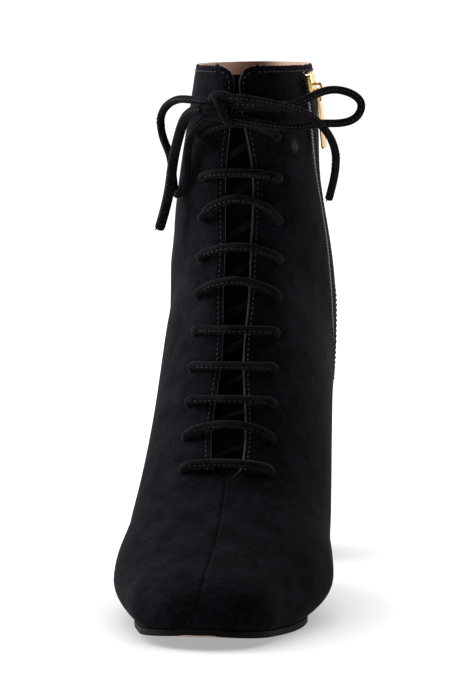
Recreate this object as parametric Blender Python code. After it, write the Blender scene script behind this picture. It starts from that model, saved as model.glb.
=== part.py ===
"""A lace-up ankle boot with a square toe, a block heel and a zip on its inner side: the right boot of a pair.

Sizes and tables are in millimetres. Station s runs from the back of the counter (0) to the tip of the toe,
x points to the inner (medial) side and z is the height over the floor. place() turns them into metres.
"""
import math

import bmesh
import bpy
import numpy as np
from mathutils import Matrix, Vector

MM = 0.001
BOOT_LENGTH = 240.0     # back of the counter to the tip of the toe
COLLAR_HEIGHT = 215.0
WALL = 2.0              # leather and lining of the upper
GAP = 0.3               # clearance between pieces that meet
SOLE = 2.4              # outsole, measured upright
SOLE_EDGE = 0.5         # how far the outsole stands out at the toe
INSOLE = 2.0
TONGUE = 2.0
LACE = 3.4              # diameter of the lace
EYELET = 4.8            # diameter of the punched holes
HEEL_BACK = 7.0         # station of the back edge of the heel seat
HEEL_BREAST = 52.0      # station of the heel's front face at the seat
HEEL_SLANT = 2.0        # how far the front face leans back at the floor
HEEL_FLARE = 1.075      # the heel's width at the floor, as a share of the seat's
HEEL_TAPER = 0.985      # the heel's length at the floor, as a share of the seat's
TOP_PIECE = 6.0

# Sections of the upper. Each is a straight line in the side view, from its base (the feather line underneath,
# or the back seam from the counter on) to the ridge (the vamp seam, or the middle of the throat). Half widths
# are taken from the swing line: at the widest place, and on the seat, where the upper meets the sole.
COLUMNS = ("base_s", "base_z", "ridge_s", "ridge_z", "lateral", "medial", "seat_lateral", "seat_medial",
           "swing", "widest", "hug")
SECTIONS = (
    ("toe tip",   240.0,   8.6, 240.0,  31.0, 22.5, 22.0, 19.5, 19.0,  1.5, 0.32, 2.4),
    ("toe box",   222.0,   5.1, 223.0,  29.5, 30.0, 29.0, 25.5, 25.0,  2.0, 0.34, 2.3),
    ("toes",      202.0,   3.1, 206.0,  33.5, 37.5, 36.0, 31.0, 30.0,  2.5, 0.35, 2.2),
    ("ball",      182.0,   2.6, 189.0,  41.0, 43.2, 42.3, 34.0, 33.0,  2.5, 0.34, 2.1),
    ("tread",     162.0,   4.0, 173.0,  50.5, 43.6, 42.5, 32.0, 30.0,  2.0, 0.32, 2.0),
    ("throat",    139.0,  12.0, 159.0,  62.0, 41.4, 40.4, 28.0, 25.0,  1.0, 0.31, 2.0),
    ("waist",     113.0,  27.4, 145.0,  77.5, 38.8, 39.2, 25.5, 22.5,  0.0, 0.33, 2.0),
    ("arch",       86.0,  43.2, 131.5,  95.0, 37.2, 37.8, 25.5, 23.0, -0.8, 0.35, 2.0),
    ("breast",     57.0,  56.0, 120.5, 113.5, 37.0, 36.0, 27.5, 26.5, -1.2, 0.36, 2.0),
    ("seat",       29.0,  62.4, 112.8, 131.0, 37.0, 34.5, 28.5, 28.5, -1.4, 0.38, 2.0),
    ("heel tip",    7.0,  65.2, 108.0, 147.5, 36.7, 34.2, 28.5, 28.5, -1.5, 0.40, 2.0),
    ("counter",     0.0,  84.0, 105.6, 163.5, 36.3, 33.8,  0.0,  0.0, -1.5, 0.42, 2.1),
    ("heel top",    5.0, 112.0, 104.4, 178.5, 33.6, 32.0,  0.0,  0.0, -1.9, 0.44, 2.1),
    ("ankle",      11.5, 146.0, 104.0, 191.5, 29.5, 29.4,  0.0,  0.0, -2.5, 0.46, 2.1),
    ("shaft",      14.0, 182.0, 104.0, 203.5, 25.5, 28.3,  0.0,  0.0, -2.7, 0.48, 2.1),
    ("collar",     13.0, 215.0, 104.5, 215.0, 22.3, 25.7,  0.0,  0.0, -2.7, 0.50, 2.1),
)
HEEL_TIP = 10           # the row where the base leaves the feather line for the back seam
COLLAR = 15
TREAD_Z = SOLE + GAP    # the feather line runs level over the tread
# Rounded ends: where the rounding starts along s, and how square it is
TOE_PLAN = (218.0, BOOT_LENGTH, 3.6)
TOE_PROFILE = (206.0, BOOT_LENGTH, 2.6)
HEEL_PLAN = (40.0, HEEL_BACK, 2.2)

# The throat: its bottom is at this section, and lengths along it are measured up the ridge from there
THROAT_BOTTOM = 4.36
THROAT_GAP = (          # along, half gap between the quarters
    (0.0, 5.0), (16.0, 6.6), (34.0, 6.1), (60.0, 4.2), (84.0, 5.1), (110.0, 5.2),
    (140.0, 5.1), (152.0, 3.4), (165.0, 1.5), (174.0, 0.8), (190.0, 0.8),
)
THROAT_ROUND = 7.0      # length of the round end at the bottom
COLLAR_ROUND = 7.5      # radius of the quarters' top corners
EYELET_PAIRS = 11
EYELET_FIRST = 7.0      # along the throat
EYELET_PITCH = 16.4
EYELET_TOP_DROP = 6.0   # how much closer the top pair sits to the pair below
EYELET_HALF = (17.6, 15.2)          # half the distance between a pair, lowest and highest
BAR_RISE = (-1.4, 1.6, -2.8, -3.4, -3.2, 1.9, 0.1, 4.0, -1.7, 2.4)   # arch of each bar, lowest first
LACE_LIFT = 2.5         # middle of a bar over the surface
LACE_DEPTH = 4.1        # middle of an inner run under the surface
TONGUE_DEPTH = 6.3      # outer face of the tongue under the surface, below the lace

# The zip's line on the inner side, as s and z, from the collar down
ZIP_LINE = (
    (76.5, 224.0), (75.0, 215.0), (68.5, 182.0), (62.0, 148.0), (55.0, 114.0), (48.0, 82.0), (45.0, 70.0),
)
ZIP_SLOT = 2.6          # half width
ZIP_BOTTOM = 82.0
SLIDER_Z = 206.0
PULL_LENGTH = 26.0


def cubic(knots, values, flat_start=False, flat_end=False):
    """A natural cubic spline as a function of numpy arrays, level at its start or end if asked."""
    knots = np.array(knots, float)
    values = np.array(values, float)
    gaps = np.diff(knots)
    slopes = np.diff(values) / gaps
    matrix = np.eye(len(knots))
    right = np.zeros(len(knots))
    for i in range(1, len(knots) - 1):
        matrix[i, i - 1:i + 2] = gaps[i - 1], 2 * (gaps[i - 1] + gaps[i]), gaps[i]
        right[i] = 6 * (slopes[i] - slopes[i - 1])
    if flat_start:
        matrix[0, :2] = 2 * gaps[0], gaps[0]
        right[0] = 6 * slopes[0]
    if flat_end:
        matrix[-1, -2:] = gaps[-1], 2 * gaps[-1]
        right[-1] = -6 * slopes[-1]
    bends = np.linalg.solve(matrix, right)

    def at(x):
        x = np.asarray(x, float)
        i = np.clip(np.searchsorted(knots, x) - 1, 0, len(gaps) - 1)
        a = (knots[i + 1] - x) / gaps[i]
        b = (x - knots[i]) / gaps[i]
        curve = (a ** 3 - a) * bends[i] + (b ** 3 - b) * bends[i + 1]
        return a * values[i] + b * values[i + 1] + curve * gaps[i] ** 2 / 6

    return at


def column(name, first=0, last=len(SECTIONS) - 1, flat_start=False, flat_end=False):
    """The spline of one column of SECTIONS over the row number, from the first to the last row given."""
    i = 1 + COLUMNS.index(name)
    rows = list(range(first, last + 1))
    return cubic(rows, [SECTIONS[row][i] for row in rows], flat_start, flat_end)


# The base turns a corner at the heel tip. It comes to rest there on both sides, so the surface stays smooth.
LINES = {name: column(name, flat_start=name == "ridge_s") for name in COLUMNS}
FOOT = {
    "base_s": column("base_s", 0, HEEL_TIP, True, True),
    "base_z": column("base_z", 0, HEEL_TIP, False, True),
    "seat_lateral": column("seat_lateral", 0, HEEL_TIP),
    "seat_medial": column("seat_medial", 0, HEEL_TIP),
}
BACK = {name: column(name, HEEL_TIP, COLLAR, True) for name in ("base_s", "base_z")}


def end_round(s, start, tip, power):
    """1 up to the start of a rounded end, falling to 0 at its tip."""
    u = np.clip((s - start) / (tip - start), 0, 1)
    return np.sqrt(np.clip(1 - u ** power, 0, 1))


def base(t):
    """Station and height of a section's base."""
    s = np.where(t <= HEEL_TIP, FOOT["base_s"](t), BACK["base_s"](t))
    z = np.where(t <= HEEL_TIP, np.maximum(FOOT["base_z"](t), TREAD_Z), BACK["base_z"](t))
    return s, z


def seat_half(t, side):
    """Half width on the feather line; nothing on the back seam."""
    s, _ = base(t)
    half = FOOT["seat_" + side](t) * end_round(s, *TOE_PLAN) * end_round(s, *HEEL_PLAN)
    return np.where(t < HEEL_TIP, half, 0.0)


def wide_half(t, side):
    """Half width at the widest place of a section."""
    s, _ = base(t)
    return LINES[side](t) * np.where(t < 5, end_round(s, *TOE_PLAN), 1.0)


def ridge(t):
    """Station and height of a section's ridge."""
    s, z = base(t)
    rise = (LINES["ridge_z"](t) - z) * np.where(t < 5, end_round(s, *TOE_PROFILE), 1.0)
    return LINES["ridge_s"](t), z + rise


def surface(t, v, side):
    """Points (x, s, z) of the upper's outside: v is 0 at the base, 1 at the widest place, 2 at the ridge."""
    t, v = np.broadcast_arrays(np.asarray(t, float), np.asarray(v, float))
    base_s, base_z = base(t)
    ridge_s, ridge_z = ridge(t)
    wide = np.maximum(wide_half(t, side), 1e-9)
    low = np.sqrt(np.clip(1 - (np.minimum(seat_half(t, side), wide) / wide) ** 2, 1e-12, 1))
    widest = LINES["widest"](t)
    power = 2 / LINES["hug"](t)
    angle = np.where(v < 1, np.arcsin(low) * (1 - v), (v - 1) * math.pi / 2)
    sine = np.clip(np.sin(angle), 0, 1)
    cosine = np.clip(np.cos(angle), 0, 1)
    rise = np.where(v < 1, widest * (1 - sine / low), widest + (1 - widest) * sine ** power)
    half = wide * np.where(v < 1, cosine, cosine ** power)
    sign = 1 if side == "medial" else -1
    return np.stack([LINES["swing"](t) + sign * half, base_s + rise * (ridge_s - base_s),
                     base_z + rise * (ridge_z - base_z)], -1)


FINE = np.linspace(0, COLLAR, 1501)
FEATHER_S, FEATHER_Z = base(FINE[FINE <= HEEL_TIP])
RIDGE = surface(FINE, np.full_like(FINE, 2.0), "medial")
ALONG = np.concatenate([[0], np.cumsum(np.linalg.norm(np.diff(RIDGE, axis=0), axis=1))])
ALONG = ALONG - np.interp(THROAT_BOTTOM, FINE, ALONG)
WIDE_LOW = np.min(LINES["swing"](FINE) - wide_half(FINE, "lateral"))
WIDE_HIGH = np.max(LINES["swing"](FINE) + wide_half(FINE, "medial"))
MIDDLE_X = (WIDE_LOW + WIDE_HIGH) / 2
MIDDLE_S = (BOOT_LENGTH + SOLE_EDGE) / 2
throat_gap = cubic(*zip(*THROAT_GAP))


def place(points):
    """Millimetres (x, s, z) to metres in the boot's frame: toe towards -Y, inner side towards +X."""
    points = np.asarray(points, float)
    return np.stack([points[..., 0] - MIDDLE_X, MIDDLE_S - points[..., 1], points[..., 2]], -1) * MM


def feather_z(s):
    """Height of the feather line at a station."""
    return np.interp(s, FEATHER_S[::-1], FEATHER_Z[::-1])


def seat_station(s):
    """Section number whose base is at this station of the feather line."""
    return float(np.interp(-s, -FEATHER_S, FINE[FINE <= HEEL_TIP]))


def half_gap(t):
    """Half the opening of the throat at a section, with its round bottom end and round top corners."""
    along = np.interp(t, FINE, ALONG)
    gap = throat_gap(along) * end_round(-along, -THROAT_ROUND, 0.0, 2.0)
    over = np.clip(ridge(t)[1] - (COLLAR_HEIGHT - COLLAR_ROUND), 0, COLLAR_ROUND)
    return np.where(along > 0, gap + COLLAR_ROUND - np.sqrt(COLLAR_ROUND ** 2 - over ** 2), 0.0)


def ridge_v(t, half, side):
    """The v between widest place and ridge where a section has this half width."""
    share = np.clip(half / np.maximum(wide_half(t, side), 1e-9), 0, 1) ** (LINES["hug"](t) / 2)
    return 1 + np.arccos(share) / (math.pi / 2)


def front_point(along, x):
    """Point and outward direction on the front of the upper, x to the inner side of the throat's middle."""
    def at(along, x):
        t = np.interp(along, ALONG, FINE)
        side = "medial" if x > 0 else "lateral"
        return surface(t, ridge_v(t, abs(x), side), side)

    across = at(along, x + 0.5) - at(along, x - 0.5)
    up = at(along + 1.5, x) - at(along - 1.5, x)
    normal = np.cross(up, across)
    normal *= np.sign(normal[1]) / np.linalg.norm(normal)
    return at(along, x), normal


def side_x(s, z, side):
    """How far out the upper lies at a place in the side view, from the widest line of its sections."""
    base_s, base_z = base(FINE)
    ridge_s, ridge_z = ridge(FINE)
    run_s, run_z = ridge_s - base_s, ridge_z - base_z
    turn = run_s * (z - base_z) - run_z * (s - base_s)
    i = np.where((turn[:-1] > 0) & (turn[1:] <= 0))[0][-1]
    t = FINE[i] + turn[i] / (turn[i] - turn[i + 1]) * (FINE[i + 1] - FINE[i])
    base_s, base_z = base(t)
    ridge_s, ridge_z = ridge(t)
    if abs(ridge_z - base_z) > 1:
        rise = (z - base_z) / (ridge_z - base_z)
    else:
        rise = (s - base_s) / (ridge_s - base_s)
    widest = LINES["widest"](t)
    wide = wide_half(t, side)
    if rise < widest:
        low = math.sqrt(1 - (min(seat_half(t, side), wide) / wide) ** 2)
        half = wide * math.sqrt(1 - (low * (1 - rise / widest)) ** 2)
    else:
        power = 2 / LINES["hug"](t)
        sine = min(1.0, (rise - widest) / (1 - widest)) ** (1 / power)
        half = wide * math.sqrt(1 - sine ** 2) ** power
    return float(LINES["swing"](t) + (half if side == "medial" else -half))


def side_point(s, z, side="medial"):
    """Point and outward direction on the side of the upper; above the collar the shaft runs straight on."""
    def at(s, z):
        top = COLLAR_HEIGHT - 0.01
        if z <= top:
            return side_x(s, z, side)
        return side_x(s, top, side) + (z - top) * (side_x(s, top, side) - side_x(s, top - 4, side)) / 4

    sign = 1 if side == "medial" else -1
    slope_s = (at(s + 1, z) - at(s - 1, z)) / 2
    slope_z = (at(s, z + 1) - at(s, z - 1)) / 2
    normal = np.array([1.0, -slope_s, -slope_z]) * sign
    return np.array([at(s, z), s, z]), normal / np.linalg.norm(normal)


# Colours, red green blue
SUEDE = (0.02, 0.02, 0.024)
TONGUE_BLACK = (0.012, 0.012, 0.014)
ZIP_BLACK = (0.015, 0.015, 0.017)
LINING = (0.45, 0.31, 0.22)
SOLE_BLACK = (0.03, 0.03, 0.03)
RUBBER = (0.04, 0.04, 0.045)
GOLD = (0.75, 0.52, 0.25)
TOOL = (1.0, 0.0, 0.0)


def material(name, colour, roughness, metallic=0.0):
    """A plain material of one colour."""
    new = bpy.data.materials.new(name)
    new.use_nodes = True
    shader = new.node_tree.nodes["Principled BSDF"]
    shader.inputs["Base Color"].default_value = (*colour, 1.0)
    shader.inputs["Roughness"].default_value = roughness
    shader.inputs["Metallic"].default_value = metallic
    return new


def add_object(name, mesh_data, colour, roughness=0.8, metallic=0.0):
    """Puts a mesh in the scene as one named piece with its own material."""
    piece = bpy.data.objects.new(name, mesh_data)
    bpy.context.collection.objects.link(piece)
    mesh_data.materials.append(material(name, colour, roughness, metallic))
    return piece


def mesh_of(name, build):
    """A mesh from a bmesh, with doubles merged and faces turned outwards."""
    bmesh.ops.remove_doubles(build, verts=build.verts, dist=0.005 * MM)
    bmesh.ops.dissolve_degenerate(build, edges=build.edges, dist=0.005 * MM)
    bmesh.ops.recalc_face_normals(build, faces=build.faces)
    made = bpy.data.meshes.new(name)
    build.to_mesh(made)
    build.free()
    return made


def add_grid(build, points):
    """Adds a grid of points (rows, columns, 3) with its faces and returns its vertices."""
    grid = [[build.verts.new(point) for point in row] for row in points]
    for lower, upper in zip(grid, grid[1:]):
        for a, b, c, d in zip(lower, lower[1:], upper[1:], upper):
            build.faces.new((a, b, c, d))
    return grid


def sheet(name, outer, inner):
    """A closed solid between two grids of millimetre points of the same shape."""
    build = bmesh.new()
    top = add_grid(build, place(outer))
    bottom = add_grid(build, place(inner))
    border = [top[0], [row[-1] for row in top], top[-1][::-1], [row[0] for row in top][::-1]]
    under = [bottom[0], [row[-1] for row in bottom], bottom[-1][::-1], [row[0] for row in bottom][::-1]]
    for edge, twin in zip(border, under):
        for a, b, c, d in zip(edge, edge[1:], twin[1:], twin):
            build.faces.new((a, b, c, d))
    return mesh_of(name, build)


def add_rings(build, rings):
    """Adds a closed body through rings of millimetre points, with flat ends."""
    loops = [[build.verts.new(point) for point in place(ring)] for ring in rings]
    for lower, upper in zip(loops, loops[1:]):
        for a, b, c, d in zip(lower, lower[1:] + lower[:1], upper[1:] + upper[:1], upper):
            build.faces.new((a, b, c, d))
    build.faces.new(loops[0])
    build.faces.new(loops[-1])


def loft(name, rings):
    """A solid through rings of millimetre points."""
    build = bmesh.new()
    add_rings(build, rings)
    return mesh_of(name, build)


def smooth_path(points, count):
    """Points read at even steps along a spline through a few points."""
    points = np.array(points, float)
    reach = np.concatenate([[0], np.cumsum(np.linalg.norm(np.diff(points, axis=0), axis=1))])
    steps = np.linspace(0, reach[-1], count)
    return np.stack([cubic(reach, points[:, i])(steps) for i in range(3)], -1)


def tube_rings(path, radius, sides):
    """Rings of a round tube along a path, carried along without twist."""
    path = np.array(path, float)
    ahead = np.gradient(path, axis=0)
    ahead /= np.linalg.norm(ahead, axis=1)[:, None]
    side = np.cross(ahead[0], [0.0, 0.0, 1.0])
    rings = []
    for point, direction in zip(path, ahead):
        side = side - direction * np.dot(side, direction)
        side /= np.linalg.norm(side)
        other = np.cross(direction, side)
        turns = np.arange(sides) * 2 * math.pi / sides
        rings.append(point + radius * (np.cos(turns)[:, None] * side + np.sin(turns)[:, None] * other))
    return rings


def hide_cutter(cutter):
    """Marks an object as a tool for a cut."""
    cutter.hide_render = True
    cutter.display_type = "WIRE"


def cut(piece, cutter):
    """Takes the cutter out of a piece."""
    step = piece.modifiers.new(cutter.name, "BOOLEAN")
    step.operation = "DIFFERENCE"
    step.solver = "EXACT"
    step.object = cutter
    hide_cutter(cutter)


def eyelet_places():
    """The eyelets from the lowest pair up: along, half spacing."""
    for pair in range(EYELET_PAIRS):
        share = pair / (EYELET_PAIRS - 1)
        drop = EYELET_TOP_DROP if pair == EYELET_PAIRS - 1 else 0.0
        half = EYELET_HALF[0] + share * (EYELET_HALF[1] - EYELET_HALF[0])
        yield EYELET_FIRST + pair * EYELET_PITCH - drop, half


def eyelet_cutters():
    """One mesh of round pegs, one through each eyelet."""
    build = bmesh.new()
    for along, half in eyelet_places():
        for x in (-half, half):
            point, normal = front_point(along, x)
            rings = tube_rings([point - 6 * normal, point + 4 * normal], EYELET / 2, 8)
            add_rings(build, rings)
    return add_object("eyelet_cutters", mesh_of("eyelet_cutters", build), TOOL)


zip_s = cubic([-z for _, z in ZIP_LINE], [s for s, _ in ZIP_LINE])


def zip_strip(top, bottom, halves, depth, count):
    """A grid on the inner side along the zip: rows from top to bottom, columns across, at a depth."""
    rows = []
    for z in np.linspace(top, bottom, count):
        row = []
        for q in halves:
            point, normal = side_point(float(zip_s(-z)) + q, z)
            row.append(point - depth * normal)
        rows.append(row)
    return np.array(rows)


def zip_cutter():
    """A bar along the zip's line, wide enough for the chain, that opens the wall from the collar down."""
    halves = (-ZIP_SLOT, ZIP_SLOT)
    outer = zip_strip(COLLAR_HEIGHT + 4, ZIP_BOTTOM, halves, -3.0, 24)
    inner = zip_strip(COLLAR_HEIGHT + 4, ZIP_BOTTOM, halves, 5.0, 24)
    return add_object("zip_cutter", sheet("zip_cutter", outer, inner), TOOL)


# Section numbers from the toe to the ball, closer together where the toe is round
FOREPART = [0.0, 0.13, 0.27, 0.42, 0.58, 0.76, 0.96, 1.2, 1.5, 1.85, 2.2, 2.6, 3.0]
# and round the back of the heel seat
HEEL_ROUND = [9.1, 9.35, 9.55, 9.72, 9.86]


def upper_stations():
    """Section numbers of the upper's mesh, closer together at the toe, the throat's bottom and the collar."""
    throat = [THROAT_BOTTOM + step for step in (0.0, 0.03, 0.1, 0.2, 0.34)]
    foot = list(np.linspace(5.0, 8.7, 9)) + HEEL_ROUND + [HEEL_TIP]
    shaft = [10.3, 10.6] + list(np.linspace(11.0, 14.2, 8))
    return np.array(FOREPART + [3.45, 3.9] + throat + foot + shaft + [14.5, 14.72, 14.9, COLLAR])


def make_upper():
    """The upper: both halves joined on the back seam and the vamp seam, thickened inwards, holes cut."""
    stations = upper_stations()
    build = bmesh.new()
    for side in ("lateral", "medial"):
        ends = np.where(stations > THROAT_BOTTOM, ridge_v(stations, half_gap(stations), side), 2.0)
        ends = np.where(stations == 0.0, 2.0, ends)
        low = [0.0, 0.1, 0.24, 0.43, 0.68]
        v = np.stack([np.concatenate([low, 1 + np.linspace(0, 1, 8) * (end - 1)]) for end in ends])
        add_grid(build, place(surface(stations[:, None], v, side)))
    upper = add_object("upper", mesh_of("upper", build), SUEDE, 0.95)
    shell = upper.modifiers.new("wall", "SOLIDIFY")
    shell.thickness = WALL * MM
    shell.offset = -1.0
    shell.use_even_offset = True
    shell.use_quality_normals = True
    cut(upper, eyelet_cutters())
    cut(upper, zip_cutter())


def seat_outline(stations, margin):
    """The seat's lateral and medial edges as (x, s), moved outwards by a margin at each station."""
    edges = []
    for side, sign in (("lateral", -1), ("medial", 1)):
        edge = np.stack([LINES["swing"](stations) + sign * seat_half(stations, side), base(stations)[0]], -1)
        ahead = np.gradient(edge, axis=0)
        out = sign * np.stack([-ahead[:, 1], ahead[:, 0]], -1)
        edges.append(edge + out / np.linalg.norm(out, axis=1)[:, None] * margin[:, None])
    return edges


def seat_grid(stations, margin, columns):
    """Points (x, s) over the seat between its two moved edges."""
    lateral, medial = seat_outline(stations, margin)
    share = np.linspace(0, 1, columns)[None, :, None]
    return lateral[:, None] * (1 - share) + medial[:, None] * share


def seat_sheet(name, grid, high, low):
    """A solid over the seat between two heights over the feather line."""
    z = feather_z(grid[..., 1])
    return sheet(name, np.dstack([grid, z + high]), np.dstack([grid, z + low]))


def make_outsole():
    """The outsole, from the toe to the front face of the heel, level on the floor under the tread."""
    breast = seat_station(HEEL_BREAST + GAP)
    stations = np.array(FOREPART + list(np.linspace(3.4, breast, 16)))
    margin = np.interp(stations, [0, 3, 5, breast], [SOLE_EDGE, SOLE_EDGE, -0.5, -1.2])
    grid = seat_grid(stations, margin, 3)
    grid[-1, :, 1] = HEEL_BREAST + GAP
    add_object("outsole", seat_sheet("outsole", grid, -GAP, -GAP - SOLE), SOLE_BLACK, 0.6)


def make_insole():
    """The insole, inside the wall of the upper and just over the sole and the heel."""
    stations = np.array(FOREPART[1:] + list(np.linspace(3.4, 8.7, 12)) + HEEL_ROUND)
    grid = seat_grid(stations, np.full(len(stations), -WALL - 1.8), 3)
    grid = grid[grid[:, -1, 0] - grid[:, 0, 0] > 8.0]
    add_object("insole", seat_sheet("insole", grid, INSOLE, 0.0), LINING, 0.6)


def heel_rings():
    """Rings of the heel from the seat down to the floor, ring by ring (x, s, z)."""
    stations = np.array([seat_station(HEEL_BREAST), 8.6] + list(np.linspace(9.0, 9.96, 9)))
    lateral, medial = seat_outline(stations, np.full(len(stations), -0.8))
    lateral[0, 1] = medial[0, 1] = HEEL_BREAST
    top = np.concatenate([lateral, medial[::-1]])
    middle = top[:, 0].mean()
    bottom_x = middle + (top[:, 0] - middle) * HEEL_FLARE
    bottom_s = HEEL_BREAST - HEEL_SLANT + (top[:, 1] - HEEL_BREAST) * HEEL_TAPER
    bottom = np.stack([bottom_x, bottom_s], -1)
    top_z = feather_z(top[:, 1]) - GAP
    return top, bottom, top_z


def heel_level(z):
    """Outline of the heel at a height, or at the seat for None."""
    top, bottom, top_z = heel_rings()
    share = np.zeros(len(top)) if z is None else 1 - z / top_z
    plan = top + (bottom - top) * (share ** 1.4)[:, None]
    return np.column_stack([plan, top_z if z is None else np.full(len(top), z)])


def make_heel():
    """The covered heel block and the rubber top piece it stands on."""
    block = [heel_level(z) for z in (TOP_PIECE + GAP, 16.0, 28.0, 40.0, 50.0, None)]
    top_piece = [heel_level(z) for z in (0.0, TOP_PIECE)]
    add_object("heel_block", loft("heel_block", block), SUEDE, 0.95)
    add_object("heel_top_piece", loft("heel_top_piece", top_piece), RUBBER, 0.4)


def make_tongue():
    """The tongue, from under the vamp up to just below the collar, with room for the lace over it."""
    alongs = [-11.0, -6.5, -2.0, 5.0] + list(np.linspace(14.0, 176.5, 15))
    halves = np.linspace(-1, 1, 9)
    outer, inner = [], []
    for along in alongs:
        width = float(np.interp(along, [-11, 4, 60, 176], [15.0, 21.0, 22.0, 18.5]))
        depth = float(np.interp(along, [-11, -2], [WALL + 0.5, TONGUE_DEPTH]))
        rows = [front_point(along, half * width) for half in halves]
        outer.append([point - depth * normal for point, normal in rows])
        inner.append([point - (depth + TONGUE) * normal for point, normal in rows])
    add_object("tongue", sheet("tongue", np.array(outer), np.array(inner)), TONGUE_BLACK, 0.7)


def lace_path():
    """The lace from behind the lowest inner eyelet, bar by bar, to the strand out of the top inner eyelet."""
    places = list(eyelet_places())
    path = []

    def through(pair, sign, outward):
        """Points through an eyelet, from the inside out or back in."""
        along, half = places[pair]
        point, normal = front_point(along, sign * half)
        lean = np.array([-sign, 0.0, 0.0])
        steps = [point - 3.4 * normal + 0.7 * lean, point - 1.6 * normal, point + 0.3 * normal,
                 point + 1.8 * normal + 0.8 * lean]
        return steps if outward else steps[::-1]

    def run(start, end, depth, rise, count):
        """Points over or under the surface between two places (along, x), arched up by a rise."""
        steps = []
        for share in np.linspace(0, 1, count + 2)[1:-1]:
            along = start[0] + (end[0] - start[0]) * share + rise * (1 - (2 * share - 1) ** 2)
            point, normal = front_point(along, start[1] + (end[1] - start[1]) * share)
            steps.append(point - depth * normal)
        return steps

    for pair in range(EYELET_PAIRS - 1):
        along, half = places[pair]
        path += through(pair, 1, True)
        path += run((along, half - 0.5), (along, -half + 0.5), -LACE_LIFT, BAR_RISE[pair], 7)
        path += through(pair, -1, False)
        path += run((along, -half), places[pair + 1], LACE_DEPTH, 0.0, 4)
    along, half = places[-1]
    path += through(EYELET_PAIRS - 1, 1, True)
    return path + run((along, half - 0.5), (along - 2.0, -4.0), -LACE_LIFT, 0.0, 4)


def make_lace():
    """The ten bars and the runs behind them, one joined cord."""
    rings = tube_rings(lace_path(), LACE / 2, 6)
    add_object("lace_bars", loft("lace_bars", rings), SUEDE, 0.95)


# The bow, as a few places (x, s, z) along each strand
BOW = {
    "lace_loop_left": (
        (-14.2, 107.0, 200.5), (-22.0, 101.5, 201.0), (-31.0, 91.0, 200.0), (-37.5, 83.0, 193.0),
        (-36.8, 81.0, 184.0), (-33.5, 83.5, 176.0), (-29.8, 88.0, 161.0), (-26.3, 92.5, 165.0),
        (-24.0, 98.0, 179.0), (-21.0, 102.5, 187.5), (-13.8, 107.0, 194.5)),
    "lace_end_left": (
        (-15.2, 112.0, 197.5), (-21.0, 107.5, 196.0), (-27.5, 98.5, 186.0), (-30.5, 94.0, 176.0),
        (-32.5, 92.5, 163.5), (-37.5, 89.0, 146.0)),
    "lace_loop_right": (
        (-2.2, 112.0, 199.6), (6.0, 110.3, 199.2), (18.5, 102.0, 199.0), (28.5, 91.5, 203.0),
        (38.5, 83.0, 204.5), (46.5, 80.0, 198.5), (45.0, 80.5, 194.0), (38.0, 83.5, 191.0),
        (30.5, 89.5, 191.0), (23.5, 97.0, 190.0), (8.0, 109.3, 191.5), (-2.2, 112.0, 193.5)),
    "lace_end_right": (
        (-4.0, 116.5, 202.3), (5.0, 115.2, 201.5), (17.5, 107.8, 198.5), (27.0, 99.0, 194.5),
        (33.5, 92.5, 187.5), (36.5, 86.0, 177.5), (35.0, 82.5, 166.0), (33.0, 81.5, 158.5)),
}
KNOT = (-8.8, 111.0, 197.5)
KNOT_HALF = (4.2, 3.6, 5.2)


def make_bow():
    """The loops and ends of the bow as cords, and its knot."""
    for name, places in BOW.items():
        path = place(smooth_path(places, 21))
        curve = bpy.data.curves.new(name, "CURVE")
        curve.dimensions = "3D"
        spline = curve.splines.new("POLY")
        spline.points.add(len(path) - 1)
        for point, at in zip(spline.points, path):
            point.co = (*at, 1.0)
        curve.bevel_depth = LACE / 2 * MM
        curve.bevel_resolution = 2
        curve.use_fill_caps = True
        add_object(name, curve, SUEDE, 0.95)
    build = bmesh.new()
    bmesh.ops.create_icosphere(build, subdivisions=2, radius=1.0)
    for vert in build.verts:
        vert.co = Vector(place(np.array(KNOT) + np.array(vert.co) * KNOT_HALF))
    add_object("lace_knot", mesh_of("lace_knot", build), SUEDE, 0.95)


def make_zip():
    """The tape and the chain in the zip's slot."""
    tape = (-8.0, 0.0, 8.0)
    tape_in = WALL + 0.9
    sheets = {
        "zip_tape": (tape, tape_in, tape_in + 0.8, COLLAR_HEIGHT - 2, ZIP_BOTTOM - 5),
        "zip_chain": ((-2.0, 2.0), 0.1, WALL + 0.5, COLLAR_HEIGHT - 2, ZIP_BOTTOM + 0.5),
    }
    for name, (halves, near, far, top, bottom) in sheets.items():
        outer = zip_strip(top, bottom, halves, near, 16)
        inner = zip_strip(top, bottom, halves, far, 16)
        add_object(name, sheet(name, outer, inner), ZIP_BLACK, 0.6)


def zip_frame():
    """Where the slider sits: a point on the surface and the directions out, up along the zip and across."""
    point, out = side_point(float(zip_s(-SLIDER_Z)), SLIDER_Z)
    low, _ = side_point(float(zip_s(-SLIDER_Z + 20)), SLIDER_Z - 20)
    up = point - low
    up -= out * np.dot(up, out)
    up /= np.linalg.norm(up)
    return place(point), *(direction * (1, -1, 1) for direction in (out, up))


def box(build, low, high):
    """Adds a box in local millimetres."""
    size = Vector(high) - Vector(low)
    middle = (Vector(high) + Vector(low)) / 2
    shape = Matrix.Translation(middle * MM) @ Matrix.Diagonal((*(size * MM), 1.0))
    bmesh.ops.create_cube(build, size=1.0, matrix=shape)


def box_piece(name, low, high):
    """A box as an object of its own, for joining or cutting."""
    build = bmesh.new()
    box(build, low, high)
    return add_object(name, mesh_of(name, build), TOOL)


SLIDER_FOOT = 0.4       # slider over the surface
SLIDER_BODY = 2.6       # its thickness
HINGE_DOWN = 2.0        # pull's axis below the slider's middle
HINGE_OUT = SLIDER_FOOT + SLIDER_BODY + 1.3
PULL_THICK = 1.4
PULL_LEAN = 4.0         # degrees towards the shaft, from along the zip


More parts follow.
